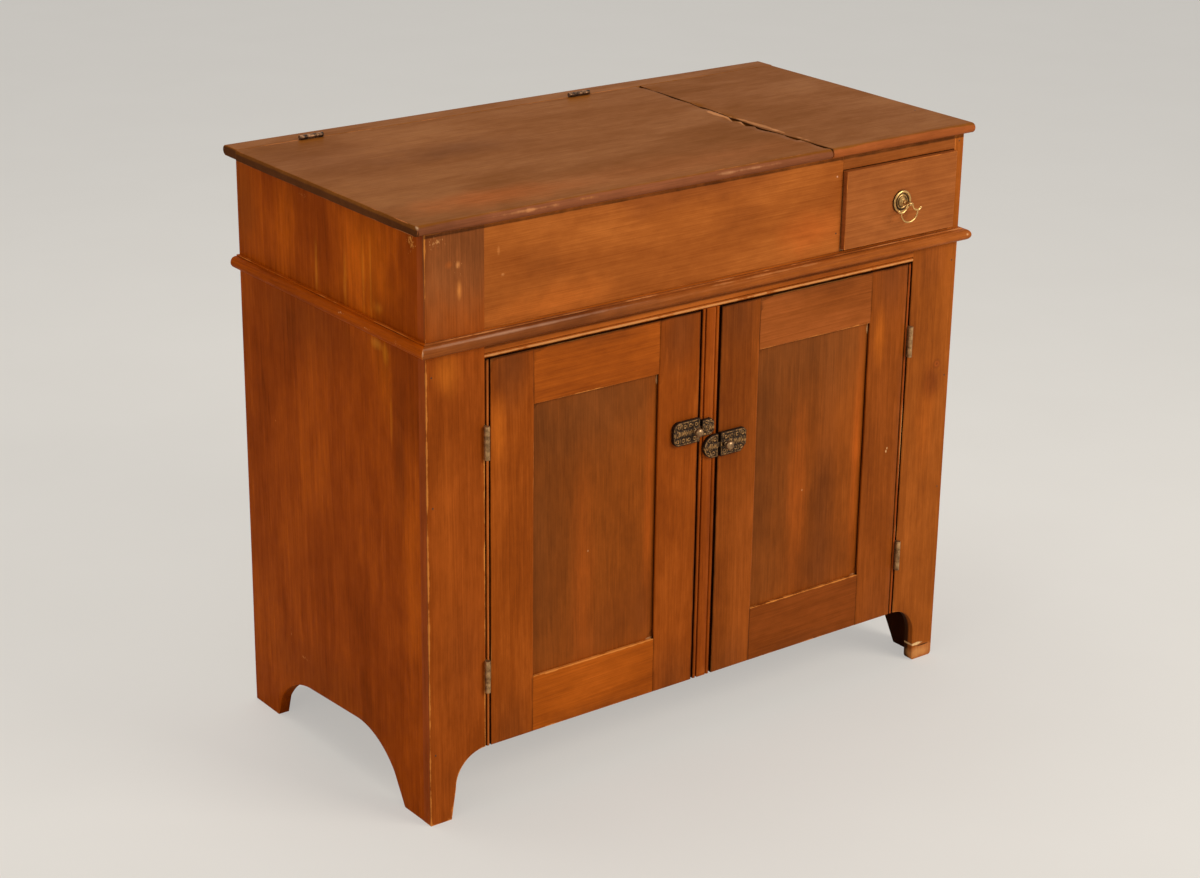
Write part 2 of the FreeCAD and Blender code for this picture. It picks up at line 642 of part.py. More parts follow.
def top_boards():
    """Rear rail with a round back edge, fixed board at the right and lift lid at the left."""
    def round_front(depth, thickness):
        half = f"({thickness}) / 2"
        return ((half, "0", "x", half, "left"), (depth, "0"), (depth, thickness), (half, thickness))

    def round_back(depth, thickness):
        half = f"({thickness}) / 2"
        return (("0", "0"), (f"{depth} - {half}", "0"),
                (f"{depth} - {half}", thickness, "x", f"{depth} - {half}", "left"), ("0", thickness))

    lid_thickness = "top_thickness - lid_rest_gap"
    front = "-top_overhang_front"

    length = "carcass_width + 2 * rail_overhang_ends"
    rail = padded("rear_rail_board", "YZ", round_back("rail_width", "top_thickness"), length,
                  ("-rail_overhang_ends", "rail_front_y", "carcass_height"))
    node("rear_rail", cut("rear_rail", rail, lid_mortises("rear_rail_mortise", 1)))

    length = "carcass_width + top_overhang_right - fixed_left"
    section = round_front("rail_front_y + top_overhang_front", "top_thickness")
    node("fixed_top", padded("fixed_top", "YZ", section, length, ("fixed_left", front, "carcass_height")))

    length = "lid_right_edge + lid_overhang_left"
    section = round_front("lid_rear_y + top_overhang_front", lid_thickness)
    lid = padded("lid_board", "YZ", section, length,
                 ("-lid_overhang_left", front, "carcass_height + lid_rest_gap"))
    node("lid", cut("lid", lid, lid_mortises("lid_mortise", -1)))


def lid_mortises(name, side):
    """Recesses for the lid hinges' leaves, in the rail's edge (side 1) or the lid's (side -1)."""
    edge = ("lid_pivot_y", f"lid_pivot_y + {side} * leaf_outer")
    deep = ("top_surface - lid_leaf_width", "top_surface + tool_overrun")
    return [
        box(f"{name}_{index}", (f"{middle} - lid_hinge_length / 2", f"{middle} + lid_hinge_length / 2"),
            edge if side > 0 else edge[::-1], deep)
        for index, middle in enumerate(("lid_hinge_left", "lid_hinge_right"))
    ]


def door(name, left):
    """A door framed with mortise and tenon joints round a flat panel, beaded on its hinge edge."""
    sign = 1 if left else -1
    outer = "left_door_outer" if left else "right_door_outer"
    inner = "left_door_inner" if left else "right_door_inner"
    hinge_inner = f"({outer} + {sign} * door_hinge_stile)"
    latch_inner = f"({inner} - {sign} * door_latch_stile)"
    groove_y = ("panel_recess", "panel_recess + panel_thickness")
    low_z, high_z = "opening_bottom", "door_top"
    rails = {"top": (f"{high_z} - door_top_rail", high_z), "bottom": (low_z, f"{low_z} + door_bottom_rail")}
    panel_z = (rails["bottom"][1], rails["top"][0])
    groove_z = (f"{panel_z[0]} - panel_groove_depth", f"{panel_z[1]} + panel_groove_depth")

    def span(first, second):
        return (first, second) if left else (second, first)

    def tenon_z(which):
        return (f"{rails[which][0]} + tenon_shoulder", f"{rails[which][1]} - tenon_shoulder")

    # The hinge stile's section runs from the hinge edge inwards.
    turn = "right" if left else "left"
    quirk, radius = "(bead_width + quirk_width)", "(bead_width / 2)"
    section = (
        (f"{sign} * {quirk}", "0"),
        (f"{sign} * {quirk}", "quirk_depth"),
        (f"{sign} * bead_width", "quirk_depth"),
        (f"{sign} * bead_width", radius),
        ("0", radius, "y", radius, turn),
        ("0", "door_thickness"),
        (f"{sign} * door_hinge_stile", "door_thickness"),
        (f"{sign} * door_hinge_stile", "0"),
    )
    stile = padded(f"{name}_hinge_stile_board", "XY", section, "door_height", (outer, "0", low_z))
    pivot = "left_pivot_x" if left else "right_pivot_x"
    recess = span(f"{outer} - {sign}", f"{pivot} + {sign} * leaf_outer")
    heights = LEFT_HINGES if left else RIGHT_HINGES
    tools = mortises(f"{name}_stile_mortise", heights, recess)
    across = span(f"{hinge_inner} - {sign} * panel_groove_depth", f"{hinge_inner} + {sign}")
    tools.append(box(f"{name}_hinge_groove", across, groove_y, groove_z))
    for which in rails:
        across = span(f"{hinge_inner} - {sign} * tenon_length", f"{hinge_inner} + {sign}")
        tools.append(box(f"{name}_hinge_{which}_mortise", across, groove_y, tenon_z(which)))
    node(f"{name}_hinge_stile", cut(f"{name}_hinge_stile", stile, tools))

    face = ("0", "door_thickness")
    stile = box(f"{name}_latch_stile_board", span(latch_inner, inner), face, (low_z, high_z))
    across = span(f"{latch_inner} - {sign}", f"{latch_inner} + {sign} * panel_groove_depth")
    tools = [box(f"{name}_latch_groove", across, groove_y, groove_z)]
    for which in rails:
        across = span(f"{latch_inner} - {sign}", f"{latch_inner} + {sign} * tenon_length")
        tools.append(box(f"{name}_latch_{which}_mortise", across, groove_y, tenon_z(which)))
    node(f"{name}_latch_stile", cut(f"{name}_latch_stile", stile, tools))

    for which, edge in (("top", 0), ("bottom", 1)):
        between = box(f"{name}_{which}_board", span(hinge_inner, latch_inner), face, rails[which])
        through = span(f"{hinge_inner} - {sign} * tenon_length", f"{latch_inner} + {sign} * tenon_length")
        tenons = box(f"{name}_{which}_tenons", through, groove_y, tenon_z(which))
        lip = rails[which][edge]
        limits = (f"{lip} - panel_groove_depth", f"{lip} + panel_groove_depth")
        groove = box(f"{name}_{which}_groove", span(hinge_inner, latch_inner), groove_y, limits)
        rail = cut(f"{name}_{which}_rail", fuse(f"{name}_{which}_tenoned", [between, tenons]), [groove])
        node(f"{name}_{which}_rail", rail)

    tongue = "(panel_groove_depth - panel_groove_slack)"
    across = span(f"{hinge_inner} - {sign} * {tongue}", f"{latch_inner} + {sign} * {tongue}")
    upright = (f"{panel_z[0]} - {tongue}", f"{panel_z[1]} + {tongue}")
    node(f"{name}_panel", box(f"{name}_panel", across, groove_y, upright))


class HingeFrame:
    """Directions of one butt hinge: along its pin, across its joint and into the wood."""

    def __init__(self, centre, along, across, into):
        self.centre, self.along, self.across, self.into = centre, along, across, into

    def limits(self, along, across, into):
        """Turn limits reckoned from the pin's middle into limits along X, Y and Z."""
        found = {}
        for (letter, sign), (low, high) in zip((self.along, self.across, self.into), (along, across, into)):
            middle = self.centre["XYZ".index(letter)]
            pair = [f"({middle}) + {sign} * ({low})", f"({middle}) + {sign} * ({high})"]
            found[letter] = tuple(pair if sign > 0 else reversed(pair))
        return found["X"], found["Y"], found["Z"]

    def start(self, low):
        """The point on the pin's axis that is so far along it."""
        point = list(self.centre)
        index = "XYZ".index(self.along[0])
        point[index] = f"({point[index]}) + {low}"
        return point


def hinge_leaf(name, frame, knuckles, sizes, side, bore):
    """One leaf: a plate let into the wood, drilled for two screws, with its knuckles bored for the pin."""
    length, barrel, width = sizes
    face = f"({barrel} + barrel_gap)"
    near, far = (f"{side} * leaf_parting", f"{side} * leaf_outer")
    across = (near, far) if side > 0 else (far, near)
    plate = frame.limits((f"-{length} / 2", f"{length} / 2"), across, (face, f"{face} + {width}"))
    pieces = [box(f"{name}_plate", *plate)]
    axis = frame.along[0]
    for index, (low, high) in enumerate(knuckles):
        tab = frame.limits((low, high), across, ("0", f"{face} + leaf_thickness"))
        pieces.append(box(f"{name}_tab_{index}", *tab))
        start = frame.start(f"({low})")
        pieces.append(rod(f"{name}_knuckle_{index}", axis, barrel, f"({high}) - ({low})", start))
    holes = [rod(f"{name}_bore", axis, bore, length, frame.start(f"(-{length} / 2)"))]
    for index, (point, along) in enumerate(leaf_screw_places(frame, sizes, side)):
        holes.append(rod(f"{name}_hole_{index}", along, "screw_head_radius", "leaf_thickness", point,
                         "screw_shank_radius"))
    return cut(name, fuse(f"{name}_solid", pieces), holes)


def leaf_screw_places(frame, sizes, side):
    """Where a leaf's two screws start, on the leaf's face in the joint, and which way they point."""
    length, barrel, _ = sizes
    letter, sign = frame.across
    index, depth = "XYZ".index(letter), "XYZ".index(frame.into[0])
    for end in ("-1", "1"):
        point = frame.start(f"{end} * ({length} / 2 - hinge_screw_inset)")
        point[index] = f"({point[index]}) + {sign * side} * leaf_parting"
        point[depth] = f"({point[depth]}) + {frame.into[1]} * ({barrel} + barrel_gap + hinge_screw_depth)"
        yield point, (letter if sign * side > 0 else f"-{letter}")


SCREWS = {"frame_screws": [], "left_door_screws": [], "right_door_screws": [], "lid_screws": []}


def leaf_screws(name, frames, sizes, side):
    """Countersunk screws through the leaves of one board, flush with the leaves."""
    for frame in frames:
        for point, along in leaf_screw_places(frame, sizes, side):
            label = f"{name}_{len(SCREWS[name])}"
            head = rod(f"{label}_head", along, "screw_head_radius", "leaf_thickness", point,
                       "screw_shank_radius")
            shank = rod(f"{label}_shank", along, "screw_shank_radius", "screw_length", point)
            SCREWS[name].append(fuse(label, [head, shank]))


def hinge_pair(name, frames, sizes, middle, fixed, moving):
    """Two alike butt hinges on one edge: the fixed leaves grip the pins and the moving leaves turn on them.

    fixed and moving each hold the leaves' name, their side of the joint and the name of their screws.
    """
    length = sizes[0]
    ends = f"({middle} / 2 + barrel_gap)"
    outer = ((f"-{length} / 2", f"-{ends}"), (ends, f"{length} / 2"))
    inner = ((f"-{middle} / 2", f"{middle} / 2"),)
    for (leaves, side, screws), knuckles, bore in (
        (fixed, outer, "hinge_pin_radius"),
        (moving, inner, "hinge_pin_radius + pin_running_gap"),
    ):
        leaf_name = f"{name}_{leaves}"
        node(leaf_name, group(leaf_name, [
            hinge_leaf(f"{leaf_name}_{index}", frame, knuckles, sizes, side, bore)
            for index, frame in enumerate(frames)
        ]))
        leaf_screws(screws, frames, sizes, side)
    pins = [
        rod(f"{name}_pin_{index}", frame.along[0], "hinge_pin_radius", length,
            frame.start(f"(-{length} / 2)"))
        for index, frame in enumerate(frames)
    ]
    node(f"{name}_pins", group(f"{name}_pins", pins))


def hinges():
    """Two butt hinges to each door and two to the lid."""
    door_hinge = ("hinge_length", "hinge_barrel_radius", "hinge_leaf_width")
    for side, sign, heights in (("left", 1, LEFT_HINGES), ("right", -1, RIGHT_HINGES)):
        frames = [HingeFrame((f"{side}_pivot_x", "pivot_y", height), ("Z", 1), ("X", sign), ("Y", 1))
                  for height in heights]
        hinge_pair(f"{side}_door_hinge", frames, door_hinge, "hinge_middle_knuckle",
                   ("frame_leaves", -1, "frame_screws"), ("door_leaves", 1, f"{side}_door_screws"))
    lid_hinge = ("lid_hinge_length", "lid_barrel_radius", "lid_leaf_width")
    frames = [HingeFrame((middle, "lid_pivot_y", "lid_pivot_z"), ("X", 1), ("Y", 1), ("Z", -1))
              for middle in ("lid_hinge_left", "lid_hinge_right")]
    hinge_pair("lid_hinge", frames, lid_hinge, "lid_hinge_knuckle",
               ("rail_leaves", 1, "frame_screws"), ("lid_leaves", -1, "lid_screws"))


def latch(side, sign):
    """A slide latch: a case on the door, a keeper on the centre stile, and a bolt with a knob."""
    name = f"{side}_latch"
    height = f"latch_{side}_height"
    end, keeper_x = f"{side}_case_end", f"{side}_keeper_x"
    half, corner = "(latch_case_height / 2)", "latch_corner"
    channel_half = "(bolt_height / 2 + latch_slide_gap)"
    channel_z = (f"{height} - {channel_half}", f"{height} + {channel_half}")
    channel_y = ("latch_wall - latch_case_thickness", "tool_overrun")
    tip = f"({keeper_x} - {sign} * bolt_clear_of_keeper)"
    knob_x = f"({tip} - {sign} * knob_from_tip)"

    def span(first, second):
        return (first, second) if sign > 0 else (second, first)

    # Case: square at the bolt's end; the far end is round on the left latch and clipped on the right one.
    far = f"{-sign} * latch_case_length"
    shoulder = f"{-sign} * (latch_case_length - {corner})"
    if side == "left":
        case_outline = (
            ("0", f"-{half}"),
            ("0", half),
            (shoulder, half),
            (far, f"{half} - {corner}", "x", shoulder, "left"),
            (far, f"{corner} - {half}"),
            (shoulder, f"-{half}", "x", shoulder, "left"),
        )
    else:
        case_outline = (
            ("0", half),
            ("0", f"-{half}"),
            (shoulder, f"-{half}"),
            (far, f"{corner} - {half}"),
            (far, f"{half} - {corner} / 2"),
            (f"{-sign} * (latch_case_length - {corner} / 2)", half),
        )
    case = padded(f"{name}_case_plate", "XZ", case_outline, "latch_case_thickness", (end, "0", height))
    slot_near = f"{knob_x} + {sign} * (bolt_throw + knob_neck_radius + latch_slide_gap)"
    slot_far = f"{knob_x} - {sign} * (knob_neck_radius + latch_slide_gap)"
    slot_half = "(knob_neck_radius + latch_slide_gap)"
    slot_y = ("-latch_case_thickness - tool_overrun", "0")
    slot_z = (f"{height} - {slot_half}", f"{height} + {slot_half}")
    bolt_far = f"({tip} - {sign} * bolt_length)"
    channel_x = span(f"{bolt_far} - {sign} * latch_slide_gap", f"{end} + {sign} * tool_overrun")
    tools = [
        box(f"{name}_channel", channel_x, channel_y, channel_z),
        box(f"{name}_slot", span(slot_far, slot_near), slot_y, slot_z),
    ]
    places = latch_screw_places(side, sign)
    hollow = cut(f"{name}_case_hollow", case, tools)
    node(f"{name}_case", screwed(f"{name}_case", hollow, places["case"], f"{side}_door_screws"))

    # Keeper: a housing over the bolt's pocket, open towards the case.
    if side == "left":
        wide = "left_keeper_width"
        clip = f"({wide} - keeper_corner)"
        keeper_outline = (
            ("0", "left_keeper_top"),
            ("0", "-left_keeper_bottom"),
            (clip, "-left_keeper_bottom"),
            (wide, "keeper_corner - left_keeper_bottom"),
            (wide, "left_keeper_top - keeper_corner"),
            (clip, "left_keeper_top"),
        )
    else:
        wide, tall = "right_keeper_width", "right_keeper_half"
        keeper_outline = (
            ("0", f"-{tall}"),
            ("0", tall),
            (f"{tall} - {wide}", tall),
            (f"{tall} - {wide}", f"-{tall}", "x", f"{tall} - {wide}", "left"),
        )
    at = (keeper_x, "0", height)
    keeper = padded(f"{name}_keeper_plate", "XZ", keeper_outline, "latch_case_thickness", at)
    pocket = span(f"{keeper_x} - {sign} * tool_overrun", f"{keeper_x} + {sign} * keeper_pocket_depth")
    hollow = cut(f"{name}_keeper_hollow", keeper, [box(f"{name}_pocket", pocket, channel_y, channel_z)])
    node(f"{name}_keeper", screwed(f"{name}_keeper", hollow, places["keeper"], "frame_screws"))

    bolt_z = (f"{height} - bolt_height / 2", f"{height} + bolt_height / 2")
    bolt = box(f"{name}_bolt", span(bolt_far, tip), ("bolt_front_y", "bolt_back_y"), bolt_z)
    node(f"{name}_bolt", bolt)

    neck, knob, thick = "knob_neck_radius", "knob_radius", "knob_thickness"
    knob_outline = (
        ("0", "0"),
        (neck, "0"),
        (neck, "knob_neck_reach + bolt_front_y"),
        (f"{knob} / 2", "knob_neck_reach + bolt_front_y"),
        (knob, f"knob_neck_reach + bolt_front_y + {thick} / 2"),
        (f"{knob} / 2", f"knob_neck_reach + bolt_front_y + {thick} - knob_crown"),
        ("0", f"knob_neck_reach + bolt_front_y + {thick}"),
    )
    node(f"{name}_knob", turned(f"{name}_knob", knob_outline, "-Y", (knob_x, "bolt_front_y", height)))


def latch_screw_places(side, sign):
    """Where a latch's screws go: two in its case on the door and two in its keeper on the centre stile."""
    height = f"latch_{side}_height"
    reach = "(latch_case_height / 2 - latch_screw_inset)"
    near = f"{side}_case_end - {sign} * latch_screw_inset"
    far = f"{side}_case_end - {sign} * (latch_case_length - latch_corner)"
    keeper_x = f"{side}_keeper_x + {sign} * {side}_keeper_width / 2"
    if side == "left":
        keeper_z = ("left_keeper_top - latch_screw_inset", "latch_screw_inset - left_keeper_bottom")
    else:
        keeper_z = ("right_keeper_half - latch_screw_inset", "latch_screw_inset - right_keeper_half")
    return {
        "case": ((near, f"{height} - {reach}"), (far, f"{height} + {reach}")),
        "keeper": tuple((keeper_x, f"{height} + {up}") for up in keeper_z),
    }


def screwed(name, plate, places, screws):
    """Drill a case or keeper for its screws, and put the round-headed screws in."""
    through = "latch_case_thickness + latch_screw_length"
    holes = []
    for index, (x, z) in enumerate(places):
        at = (x, "-latch_case_thickness", z)
        holes.append(rod(f"{name}_hole_{index}", "Y", "screw_shank_radius", "latch_case_thickness", at))
        label = f"{screws}_{len(SCREWS[screws])}"
        head = rod(f"{label}_head", "-Y", "screw_head_radius", "latch_screw_head", at, "screw_shank_radius")
        shank = rod(f"{label}_shank", "Y", "screw_shank_radius", through, at)
        SCREWS[screws].append(fuse(label, [head, shank]))
    return cut(name, plate, holes)


def drawer():
    """The small drawer: front, sides let into it, back and bottom panel, and its stop on the deck."""
    left_side = ("drawer_left", "drawer_left + drawer_side_thickness")
    right_side = ("drawer_right - drawer_side_thickness", "drawer_right")
    side_z = ("drawer_low", "drawer_low + drawer_side_height")
    side_y = ("drawer_frame_y - drawer_lap", "drawer_back_y")
    bottom_z = ("drawer_bottom_z", "drawer_bottom_z + drawer_bottom_thickness")
    groove_y = ("drawer_frame_y - drawer_groove_depth", "drawer_back_y + tool_overrun")
    groove_x = ("drawer_left + drawer_side_thickness - drawer_groove_depth",
                "drawer_right - drawer_side_thickness + drawer_groove_depth")

    front = box("drawer_front_board", ("drawer_left", "drawer_right"), ("drawer_face_y", "drawer_frame_y"),
                ("drawer_front_low", "drawer_top"))
    tools = [
        box("drawer_front_left_lap", ("drawer_left - tool_overrun", left_side[1]), side_y, side_z),
        box("drawer_front_right_lap", (right_side[0], "drawer_right + tool_overrun"), side_y, side_z),
        box("drawer_front_groove", groove_x, groove_y, bottom_z),
        rod("drawer_front_hole", "Y", "post_tail_radius + post_hole_gap",
            "drawer_front_thickness + 2 * tool_overrun",
            ("pull_x", "drawer_face_y - tool_overrun", "pull_z")),
    ]
    node("drawer_front", cut("drawer_front", front, tools))
    for name, across in (("drawer_left_side", left_side), ("drawer_right_side", right_side)):
        board = box(f"{name}_board", across, side_y, side_z)
        groove = box(f"{name}_groove", groove_x, side_y, bottom_z)
        node(name, cut(name, board, [groove]))
    between = (left_side[1], right_side[0])
    back_y = ("drawer_back_y - drawer_side_thickness", "drawer_back_y")
    node("drawer_back", box("drawer_back", between, back_y, (bottom_z[1], side_z[1])))
    bottom_y = ("drawer_frame_y - drawer_groove_depth", "drawer_back_y")
    node("drawer_bottom", box("drawer_bottom", groove_x, bottom_y, bottom_z))
    stop_face = "drawer_length + drawer_running_gap"
    stop_y = (stop_face, f"{stop_face} + drawer_stop_depth")
    stop_z = ("deck_height", "deck_height + drawer_stop_height")
    node("drawer_stop", box("drawer_stop", between, stop_y, stop_z))


def drawer_pull():
    """A round backplate with a post, a drop bail that swings in the post's eye, and a nut inside."""
    rim, thick, post = "rosette_radius", "rosette_thickness", "post_radius"
    plate = (
        ("0", "0"),
        (rim, "0"),
        (rim, f"{thick} / 2"),
        (f"{rim} - rosette_rim_width / 2", thick),
        (f"{rim} - rosette_rim_width", thick),
        (f"{rim} - rosette_rim_width - rosette_rim_slope", f"{thick} / 2"),
        ("rosette_boss_radius + rosette_boss_slope", f"{thick} / 2"),
        ("rosette_boss_radius", f"{thick} + rosette_boss_height"),
        (post, f"{thick} + rosette_boss_height + rosette_boss_slope"),
        (post, "post_reach"),
        ("0", "post_reach"),
    )
    centre = ("pull_x", "pull_pivot_y", "pull_z")
    head = turned("pull_rosette_turning", plate, "-Y", ("pull_x", "drawer_face_y", "pull_z"))
    eye = ball("pull_eye", "pull_eye_radius", centre)
    tail = rod("pull_tail", "Y", "post_tail_radius", "drawer_front_thickness + 2 * pull_nut_thickness",
               ("pull_x", "drawer_face_y", "pull_z"))
    bore = rod("pull_eye_bore", "X", "bail_wire_radius + bail_running_gap", "2 * bail_pin_half",
               ("pull_x - bail_pin_half", "pull_pivot_y", "pull_z"))
    solid = fuse("pull_rosette_solid", [head, eye, tail])
    node("pull_rosette", cut("pull_rosette", solid, [bore]))

    nut = rod("pull_nut_blank", "Y", "pull_nut_radius", "pull_nut_thickness",
              ("pull_x", "drawer_frame_y", "pull_z"))
    thread = rod("pull_nut_thread", "Y", "post_tail_radius", "pull_nut_thickness + 2 * tool_overrun",
                 ("pull_x", "drawer_frame_y - tool_overrun", "pull_z"))
    node("pull_nut", cut("pull_nut", nut, [thread]))

    # Bail: a pin in the eye, a shoulder that curls out to a ball on each side, and a half-round loop below.
    half, bend = "bail_pin_half", "bail_shoulder_radius"
    pieces = [rod("bail_pin", "X", "bail_wire_radius", f"2 * {half}",
                  (f"pull_x - {half}", "pull_pivot_y", "pull_z"))]
    for side, sign in (("left", -1), ("right", 1)):
        pieces.append(ball(f"bail_{side}_elbow", "bail_wire_radius",
                           (f"pull_x + {sign} * {half}", "pull_pivot_y", "pull_z")))
        bend_x = f"pull_x + {sign} * ({half} + {bend})"
        pieces.append(ring(f"bail_{side}_shoulder", bend, "90 + bail_curl", 180 if sign > 0 else 0, sign,
                           (bend_x, "pull_pivot_y", "pull_z")))
        tip = (f"{bend_x} + {sign} * {bend} * sin(bail_curl * 1 deg)", "pull_pivot_y",
               f"pull_z - {bend} * cos(bail_curl * 1 deg)")
        pieces.append(ball(f"bail_{side}_cusp", "bail_cusp_radius", tip))
    pieces.append(ring("bail_loop", f"{half} + {bend}", "180", 180, 1,
                       ("pull_x", "pull_pivot_y", f"pull_z - {bend}")))
    node("pull_bail", fuse("pull_bail", pieces))


def ring(name, radius, sweep, start, turn, at):
    """Part of an upright wire ring, from an angle up from +X, that turns up (1) or down (-1)."""
    item = doc.addObject("Part::Torus", name)
    item.setExpression("Radius1", bind(radius))
    item.setExpression("Radius2", bind("bail_wire_radius"))
    item.setExpression("Angle3", bind(sweep))
    upright = FreeCAD.Rotation(FreeCAD.Vector(1, 0, 0), turn * 90)
    spin = FreeCAD.Rotation(FreeCAD.Vector(0, 0, 1), start)
    item.Placement = FreeCAD.Placement(FreeCAD.Vector(), upright * spin)
    place(item, *at)
    return item


def nails():
    """Cut nails, heads flush: the front frame's, the back boards' and the top's, as separate solids."""
    # Where the nails fall along each board, as shares of its length.
    stile_shares = ("0", "0.25", "0.5", "0.75", "1")
    divider_shares = ("0.2", "0.8")
    rail_shares = ("0.2", "0.4", "0.6", "0.8")
    back_shares = ("0.1", "0.3", "0.5", "0.7", "0.9")
    top_places = (
        ("divider_left + side_thickness / 2", ("0.35", "0.75")),
        ("carcass_width - side_thickness / 2", ("0.2", "0.6", "0.97")),
        ("side_thickness / 2", ("0.97",)),
    )
    middle = "side_thickness / 2"
    face = []
    for share in stile_shares:
        up = f"opening_bottom + nail_edge + {share} * (carcass_height - opening_bottom - 2 * nail_edge)"
        face.append((middle, up))
        face.append((f"carcass_width - {middle}", up))
    for share in divider_shares:
        face.append((f"divider_left + {middle}", f"deck_height + {share} * (carcass_height - deck_height)"))
    for share in rail_shares:
        across = f"opening_left + {share} * (opening_right - opening_left)"
        face.append((across, "deck_height - deck_thickness / 2"))
    made = [rod(f"frame_nail_{index}", "Y", "nail_radius", "nail_length", (x, "0", z))
            for index, (x, z) in enumerate(face)]
    heights = ("floor_bottom + floor_thickness / 2", "shelf_height + shelf_thickness / 2",
               "deck_height - deck_thickness / 2")
    for share in back_shares:
        for height in heights:
            made.append(rod(f"back_nail_{len(made)}", "-Y", "nail_radius", "nail_length",
                            (f"{share} * carcass_width", "carcass_depth", height)))
    for across, shares in top_places:
        for share in shares:
            made.append(rod(f"top_nail_{len(made)}", "-Z", "nail_radius", "nail_length",
                            (across, f"{share} * carcass_depth", "top_surface")))
    node("cut_nails", group("cut_nails", made))


side_board("left_side", True)
side_board("right_side", False)
inner_boards()
back_boards()
front_frame()
waist_moulding()
top_boards()
door("left_door", True)
door("right_door", False)
hinges()
latch("left", 1)
latch("right", -1)
drawer()
drawer_pull()
for name, screws in SCREWS.items():
    node(name, group(name, screws))
nails()
doc.recompute()

failed = [item.Name for item in doc.Objects if {"Invalid", "Error"} & set(item.State)]
if failed:
    raise RuntimeError(f"objects that failed to recompute: {failed}")
for item in NODES:
    if item.Shape.isNull() or not item.Shape.isValid() or not item.Shape.Solids:
        raise RuntimeError(f"{item.Label} has no valid solid")
if len({item.Label for item in NODES}) != len(NODES):
    raise RuntimeError("two pieces share a name")

os.makedirs("parts", exist_ok=True)
for item in NODES:
    item.Shape.exportStep(f"parts/{item.Label}.step")
print(f"{len(NODES)} pieces written")
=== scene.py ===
import json
import math

import bmesh
import bpy
from mathutils import Matrix, Vector, kdtree, noise

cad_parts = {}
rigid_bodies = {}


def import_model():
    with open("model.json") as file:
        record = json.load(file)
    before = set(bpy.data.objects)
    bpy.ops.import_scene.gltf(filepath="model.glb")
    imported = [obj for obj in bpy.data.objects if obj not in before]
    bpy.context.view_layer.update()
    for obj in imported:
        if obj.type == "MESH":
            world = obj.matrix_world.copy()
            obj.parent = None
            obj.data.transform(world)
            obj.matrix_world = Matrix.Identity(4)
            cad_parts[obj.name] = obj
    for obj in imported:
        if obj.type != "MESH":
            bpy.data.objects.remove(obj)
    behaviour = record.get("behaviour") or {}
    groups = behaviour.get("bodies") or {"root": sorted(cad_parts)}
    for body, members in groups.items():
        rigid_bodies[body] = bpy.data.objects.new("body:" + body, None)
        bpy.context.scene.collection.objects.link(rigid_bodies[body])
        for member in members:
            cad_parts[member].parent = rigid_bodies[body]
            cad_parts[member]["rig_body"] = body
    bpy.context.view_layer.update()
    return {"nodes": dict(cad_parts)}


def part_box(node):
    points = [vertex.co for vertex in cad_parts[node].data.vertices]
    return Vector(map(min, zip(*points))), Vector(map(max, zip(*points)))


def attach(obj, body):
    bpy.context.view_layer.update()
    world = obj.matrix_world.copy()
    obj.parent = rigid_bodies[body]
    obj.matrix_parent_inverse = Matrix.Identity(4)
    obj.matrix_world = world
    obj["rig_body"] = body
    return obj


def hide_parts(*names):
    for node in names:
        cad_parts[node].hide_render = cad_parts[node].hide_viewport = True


# The frame: every board, hinge and latch at its built size and place, in metres. Each section below dresses
# one part of the cabinet, in the order in which a joiner would put it together.
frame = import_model()


# The viewpoint: to the left of the cabinet and above it, so that the left side, the front and the top show.
# The film is as wide as a 36 mm frame, with the horizon turned by a fraction of a degree.
view_from = Vector((-2.3126, -3.0387, 1.8842))
view_yaw = math.radians(37.079)
view_pitch = math.radians(20.905)
view_roll = math.radians(0.783)
ahead = Vector((math.cos(view_pitch) * math.sin(view_yaw), math.cos(view_pitch) * math.cos(view_yaw),
                -math.sin(view_pitch)))
level_right = Vector((math.cos(view_yaw), -math.sin(view_yaw), 0))
level_up = level_right.cross(ahead)
film_right = math.cos(view_roll) * level_right + math.sin(view_roll) * level_up
film_up = math.cos(view_roll) * level_up - math.sin(view_roll) * level_right
camera_data = bpy.data.cameras.new("viewpoint")
camera_data.sensor_width = 36
camera_data.sensor_fit = "HORIZONTAL"
camera_data.lens = 76.29
camera_data.clip_end = 60
camera = bpy.data.objects.new("viewpoint", camera_data)
turned_to_view = Matrix((film_right, film_up, -ahead)).transposed().to_4x4()
camera.matrix_world = Matrix.Translation(view_from) @ turned_to_view
bpy.context.scene.collection.objects.link(camera)
bpy.context.scene.camera = camera


# Sides: two wide upright pine boards, arched at the foot to leave four bracket feet. The arrises are rubbed
# round by use, and shellac over a red-brown stain has worn through to orange wood along them. The waves that
# a hand plane left in every board come from one seed, so that each run gives the same ones.
furthest_kept = 0.05
wave_seed = 1795508549
noise.seed_set(wave_seed)


def merged_copy(node):
    """A built piece's mesh, its doubled corners merged and its flat faces made whole."""
    work = bmesh.new()
    work.from_mesh(frame["nodes"][node].data)
    bmesh.ops.remove_doubles(work, verts=work.verts, dist=5e-6)
    bmesh.ops.dissolve_limit(work, angle_limit=math.radians(1), verts=work.verts, edges=work.edges)
    return work


def line_of(edge):
    """An edge's two ends, kept apart from the mesh."""
    return [vert.co.copy() for vert in edge.verts]


def along(line, step):
    """Points a step apart along a straight line between two ends."""
    start, end = Vector(line[0]), Vector(line[1])
    count = max(1, int((end - start).length / step))
    return [start.lerp(end, index / count) for index in range(count + 1)]


def reach_finder(lines, step=0.002):
    """What tells how far a point is from the nearest of some lines, or None where there are none."""
    points = [point for line in lines for point in along(line, step)]
    if not points:
        return None
    tree = kdtree.KDTree(len(points))
    for index, point in enumerate(points):
        tree.insert(point, index)
    tree.balance()
    return tree


